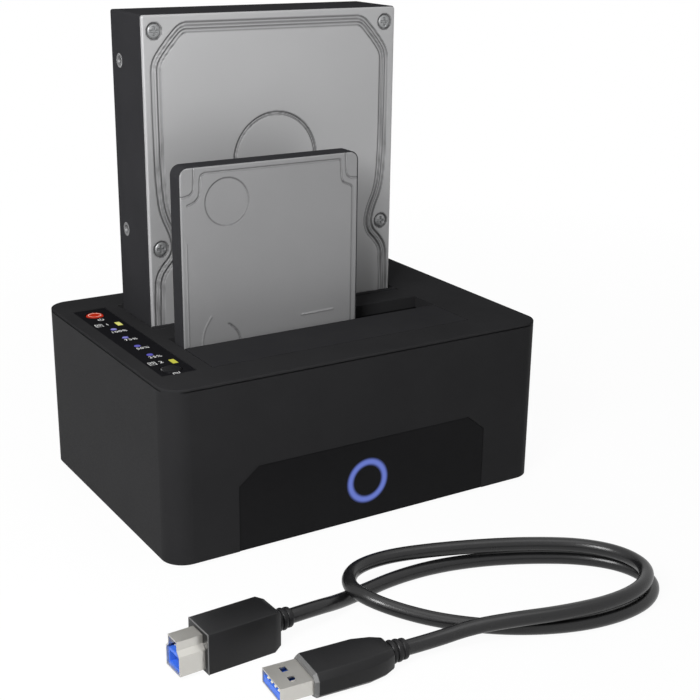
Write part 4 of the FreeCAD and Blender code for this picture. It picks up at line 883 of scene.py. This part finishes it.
def place_side_holes():
    """A machined boss flush with each side hole's mouth and a threaded, blind bore behind it."""
    thread = [(THREAD_STEP * (turn + 1), THREAD_CREST if turn % 2 else THREAD_ROOT)
              for turn in range(THREAD_STEPS)]
    cup = [
        (BORE_DEPTH, 0.0), (BORE_DEPTH, THREAD_CREST), *reversed(thread), (0.0, 1.6), (-BOSS_PROUD, 1.75),
        (-BOSS_PROUD, 2.5), (0.1, BOSS_RADIUS), (0.3, BOSS_RADIUS), (0.3, 1.59), (SLEEVE_BACK, 1.59),
        (SLEEVE_BACK, 0.0),
    ]
    shape = turned("side_hole", cup, Matrix.Identity(4))
    for name, x, turn in (("left_side_holes", DRIVE_LEFT, 0), ("right_side_holes", LARGE_RIGHT, 180)):
        points = [(x, SIDE_HOLE_Y, level) for level in SIDE_HOLE_LEVELS]
        mesh = repeated(name, shape, points, (0, 0, math.radians(turn)), 1.0, cut_aluminium)
        smooth(mesh)
        put_in(name, mesh, cut_aluminium, "large_drive")


place_side_holes()


# Control strip

PANEL_TOP = 61.7
POWER_KEY = (-63.9, 32.8)
POWER_RADIUS = 3.15
KEY_TOP = 61.9
KEY_FLANGE_TOP = 59.3


def power_key():
    """The lit power key: a shallow dished cap with a paler ring let into its top."""
    place = Matrix.Translation(Vector((*POWER_KEY, 0)) * MM) @ Matrix.Rotation(math.radians(-90), 4, "Y")
    cap = [
        (KEY_FLANGE_TOP, 0.0), (KEY_FLANGE_TOP, POWER_RADIUS), (KEY_TOP - 0.5, POWER_RADIUS),
        (KEY_TOP - 0.2, POWER_RADIUS - 0.12), (KEY_TOP - 0.02, POWER_RADIUS - 0.4), (KEY_TOP - 0.02, 2.5),
        (KEY_TOP - 0.25, 2.45), (KEY_TOP - 0.25, 2.05), (KEY_TOP - 0.08, 2.0), (KEY_TOP - 0.2, 0.9),
        (KEY_TOP - 0.22, 0.0),
    ]
    mesh = turned("power_cap", cap, place, sharp_degrees=50)
    put_in("power_cap", mesh, red_glow, "power_button", ["power_button"])
    ring = [
        (KEY_TOP - 0.3, 2.08), (KEY_TOP - 0.3, 2.42), (KEY_TOP - 0.04, 2.42), (KEY_TOP - 0.04, 2.08),
    ]
    mesh = turned("power_ring", ring, place, band=True)
    put_in("power_ring", mesh, pale_ring, "power_button")


# What is printed beside the lights: the words, their place and their height
MARKS = (
    ("100%", -63.4, 11.0, 2.6), ("75%", -63.2, 0.7, 2.6), ("50%", -63.4, -9.8, 2.6),
    ("25%", -63.4, -20.2, 2.6), ("1", -64.0, 20.4, 3.0), ("2", -64.0, -26.2, 3.0),
)
DRIVE_SIGN_X = -67.1
DRIVE_SIGN_LEVELS = (20.4, -26.2)
INK_THICK = 0.02


def printed(words, x, y, height):
    """Flat print on the film: words set as a mesh, a hair thick."""
    name = "print"
    curve = bpy.data.curves.new(name, "FONT")
    curve.body = words
    curve.size = height * MM
    curve.align_x = "CENTER"
    curve.align_y = "CENTER"
    curve.space_character = 1.1
    curve.extrude = 0.01 * MM
    holder = bpy.data.objects.new(name, curve)
    bpy.context.collection.objects.link(holder)
    mesh = bpy.data.meshes.new_from_object(holder.evaluated_get(bpy.context.evaluated_depsgraph_get()))
    bpy.data.objects.remove(holder)
    mesh.transform(Matrix.Translation(Vector((x, y, PANEL_TOP + 0.02)) * MM))
    return mesh


def stroked(points, width, closed=False):
    """A flat printed line of even width, as (corners, faces) in millimetres."""
    points = [Vector(p) for p in points]
    count = len(points)
    corners, faces = [], []
    for i, here in enumerate(points):
        before = points[(i - 1) % count] if closed or i else here
        after = points[(i + 1) % count] if closed or i < count - 1 else here
        way = (after - before).normalized()
        side = Vector((-way.y, way.x)) * width / 2
        for level in (0.0, INK_THICK):
            corners += [(*(here + side), level), (*(here - side), level)]
    for i in range(count if closed else count - 1):
        a, b = i * 4, ((i + 1) % count) * 4
        faces += [(a + 2, a + 3, b + 3, b + 2), (a + 1, a, b, b + 1)]
        faces += [(a, a + 2, b + 2, b), (a + 3, a + 1, b + 1, b + 3)]
    if not closed:
        last = (count - 1) * 4
        faces += [(0, 1, 3, 2), (last + 1, last, last + 2, last + 3)]
    return corners, faces


def arc(x, y, radius, start, end, steps=20):
    """Points along an arc between two angles in degrees."""
    angles = [math.radians(start + (end - start) * i / steps) for i in range(steps + 1)]
    return [(x + radius * math.cos(a), y + radius * math.sin(a)) for a in angles]


def box_round(x, y, half_width, half_height):
    """A rectangle round a point."""
    return rectangle(x - half_width, x + half_width, y - half_height, y + half_height)


def strip_print():
    """The marks by the lights and keys, joined to one piece: words, a power sign, a copy sign, two drives."""
    shape = bmesh.new()
    for words, x, y, height in MARKS:
        shape.from_mesh(printed(words, x, y, height))
    lines = [
        stroked(arc(-63.9, 26.7, 1.0, 125, 415), 0.28),
        stroked([(-63.9, 26.9), (-63.9, 28.1)], 0.28),
        stroked(box_round(-64.3, -38.5, 0.75, 0.75), 0.25, closed=True),
        stroked(box_round(-63.6, -37.9, 0.75, 0.75), 0.25, closed=True),
    ]
    for level in DRIVE_SIGN_LEVELS:
        lines.append(stroked(box_round(DRIVE_SIGN_X, level, 1.2, 1.4), 0.25, closed=True))
        lines.append(stroked(arc(DRIVE_SIGN_X, level + 0.3, 0.65, 0, 360, 16)[:-1], 0.22, closed=True))
    for corners, faces in lines:
        made = [shape.verts.new(Vector((x, y, PANEL_TOP + 0.01 + z)) * MM) for x, y, z in corners]
        for face in faces:
            shape.faces.new([made[i] for i in face])
    mesh = bpy.data.meshes.new("strip_print")
    shape.to_mesh(mesh)
    shape.free()
    return put_in("strip_print", mesh, print_ink, "dock")


power_key()
strip_print()


# Studio

FLOOR_REACH = 4.0
FLOOR_LEVEL = -0.02 * MM
LIT_AT = Vector((0, 0, 0.05))
# The soft lights: name, place in metres, size in metres and power in watts
LIGHTS = (
    ("key_softbox", (-0.3, -0.26, 0.3), 0.16, 2.2),
    ("top_softbox", (0.1, -0.3, 1.6), 1.0, 5.0),
    ("rear_softbox", (0.02, 0.75, 0.25), 0.4, 4.0),
)


def is_seen(tree):
    """One for what the camera sees, straight, in a reflection or through a clear part, and zero for light."""
    path = add(tree, "ShaderNodeLightPath").outputs
    seen = add(tree, "ShaderNodeMath", {0: path["Is Camera Ray"], 1: path["Is Glossy Ray"]},
               operation="MAXIMUM").outputs[0]
    return add(tree, "ShaderNodeMath", {0: seen, 1: path["Is Transmission Ray"]},
               operation="MAXIMUM").outputs[0]


def make_floor():
    """A white floor that keeps a soft shadow."""
    made, tree = new_material("white_floor")
    # Near the object a twentieth of the paper shows its shadow. Further off the floor is plain white.
    place = add(tree, "ShaderNodeTexCoord").outputs["Object"]
    away = add(tree, "ShaderNodeVectorMath", {0: place}, operation="LENGTH").outputs["Value"]
    white = add(tree, "ShaderNodeMapRange", {
        "Value": away, "From Min": 0.2, "From Max": 0.5, "To Min": 0.95, "To Max": 1.0}).outputs["Result"]
    share = add(tree, "ShaderNodeMath", {0: is_seen(tree), 1: white}, operation="MULTIPLY").outputs[0]
    paper = add(tree, "ShaderNodeBsdfDiffuse", {"Color": linear("dcdcdc")}).outputs[0]
    lit = add(tree, "ShaderNodeEmission", {"Color": linear("ffffff"), "Strength": 1.0}).outputs[0]
    both = add(tree, "ShaderNodeMixShader", {0: share, 1: paper, 2: lit}).outputs[0]
    # Clear from below, so that the base can be looked at.
    below = add(tree, "ShaderNodeNewGeometry").outputs["Backfacing"]
    clear = add(tree, "ShaderNodeBsdfTransparent").outputs[0]
    both = add(tree, "ShaderNodeMixShader", {0: below, 1: both, 2: clear}).outputs[0]
    add(tree, "ShaderNodeOutputMaterial", {"Surface": both})
    rim = rectangle(-FLOOR_REACH, FLOOR_REACH, -FLOOR_REACH, FLOOR_REACH)
    mesh = bpy.data.meshes.new("studio_floor")
    mesh.from_pydata([(x, y, FLOOR_LEVEL) for x, y in rim], [], [(0, 1, 2, 3)])
    mesh.materials.append(made)
    floor = bpy.data.objects.new("studio_floor", mesh)
    bpy.context.collection.objects.link(floor)


def make_world():
    """A surround that is white to look at and gives less than a third of that as light."""
    world = bpy.data.worlds.new("white_surround")
    bpy.context.scene.world = world
    world.use_nodes = True
    tree = world.node_tree
    tree.nodes.clear()
    level = add(tree, "ShaderNodeMapRange", {
        "Value": is_seen(tree), "To Min": 0.3, "To Max": 1.0}).outputs["Result"]
    back = add(tree, "ShaderNodeBackground", {"Color": linear("ffffff"), "Strength": level}).outputs[0]
    add(tree, "ShaderNodeOutputWorld", {"Surface": back})


def make_lights():
    """Three soft lights, all turned to the object and out of the camera's sight."""
    for name, place, size, power in LIGHTS:
        data = bpy.data.lights.new(name, "AREA")
        data.size = size
        data.energy = power
        lamp = bpy.data.objects.new(name, data)
        lamp.location = place
        lamp.visible_camera = False
        lamp.rotation_euler = (LIT_AT - Vector(place)).to_track_quat("-Z", "Y").to_euler()
        bpy.context.collection.objects.link(lamp)


make_floor()
make_world()
make_lights()
bpy.context.scene.view_settings.view_transform = "Standard"
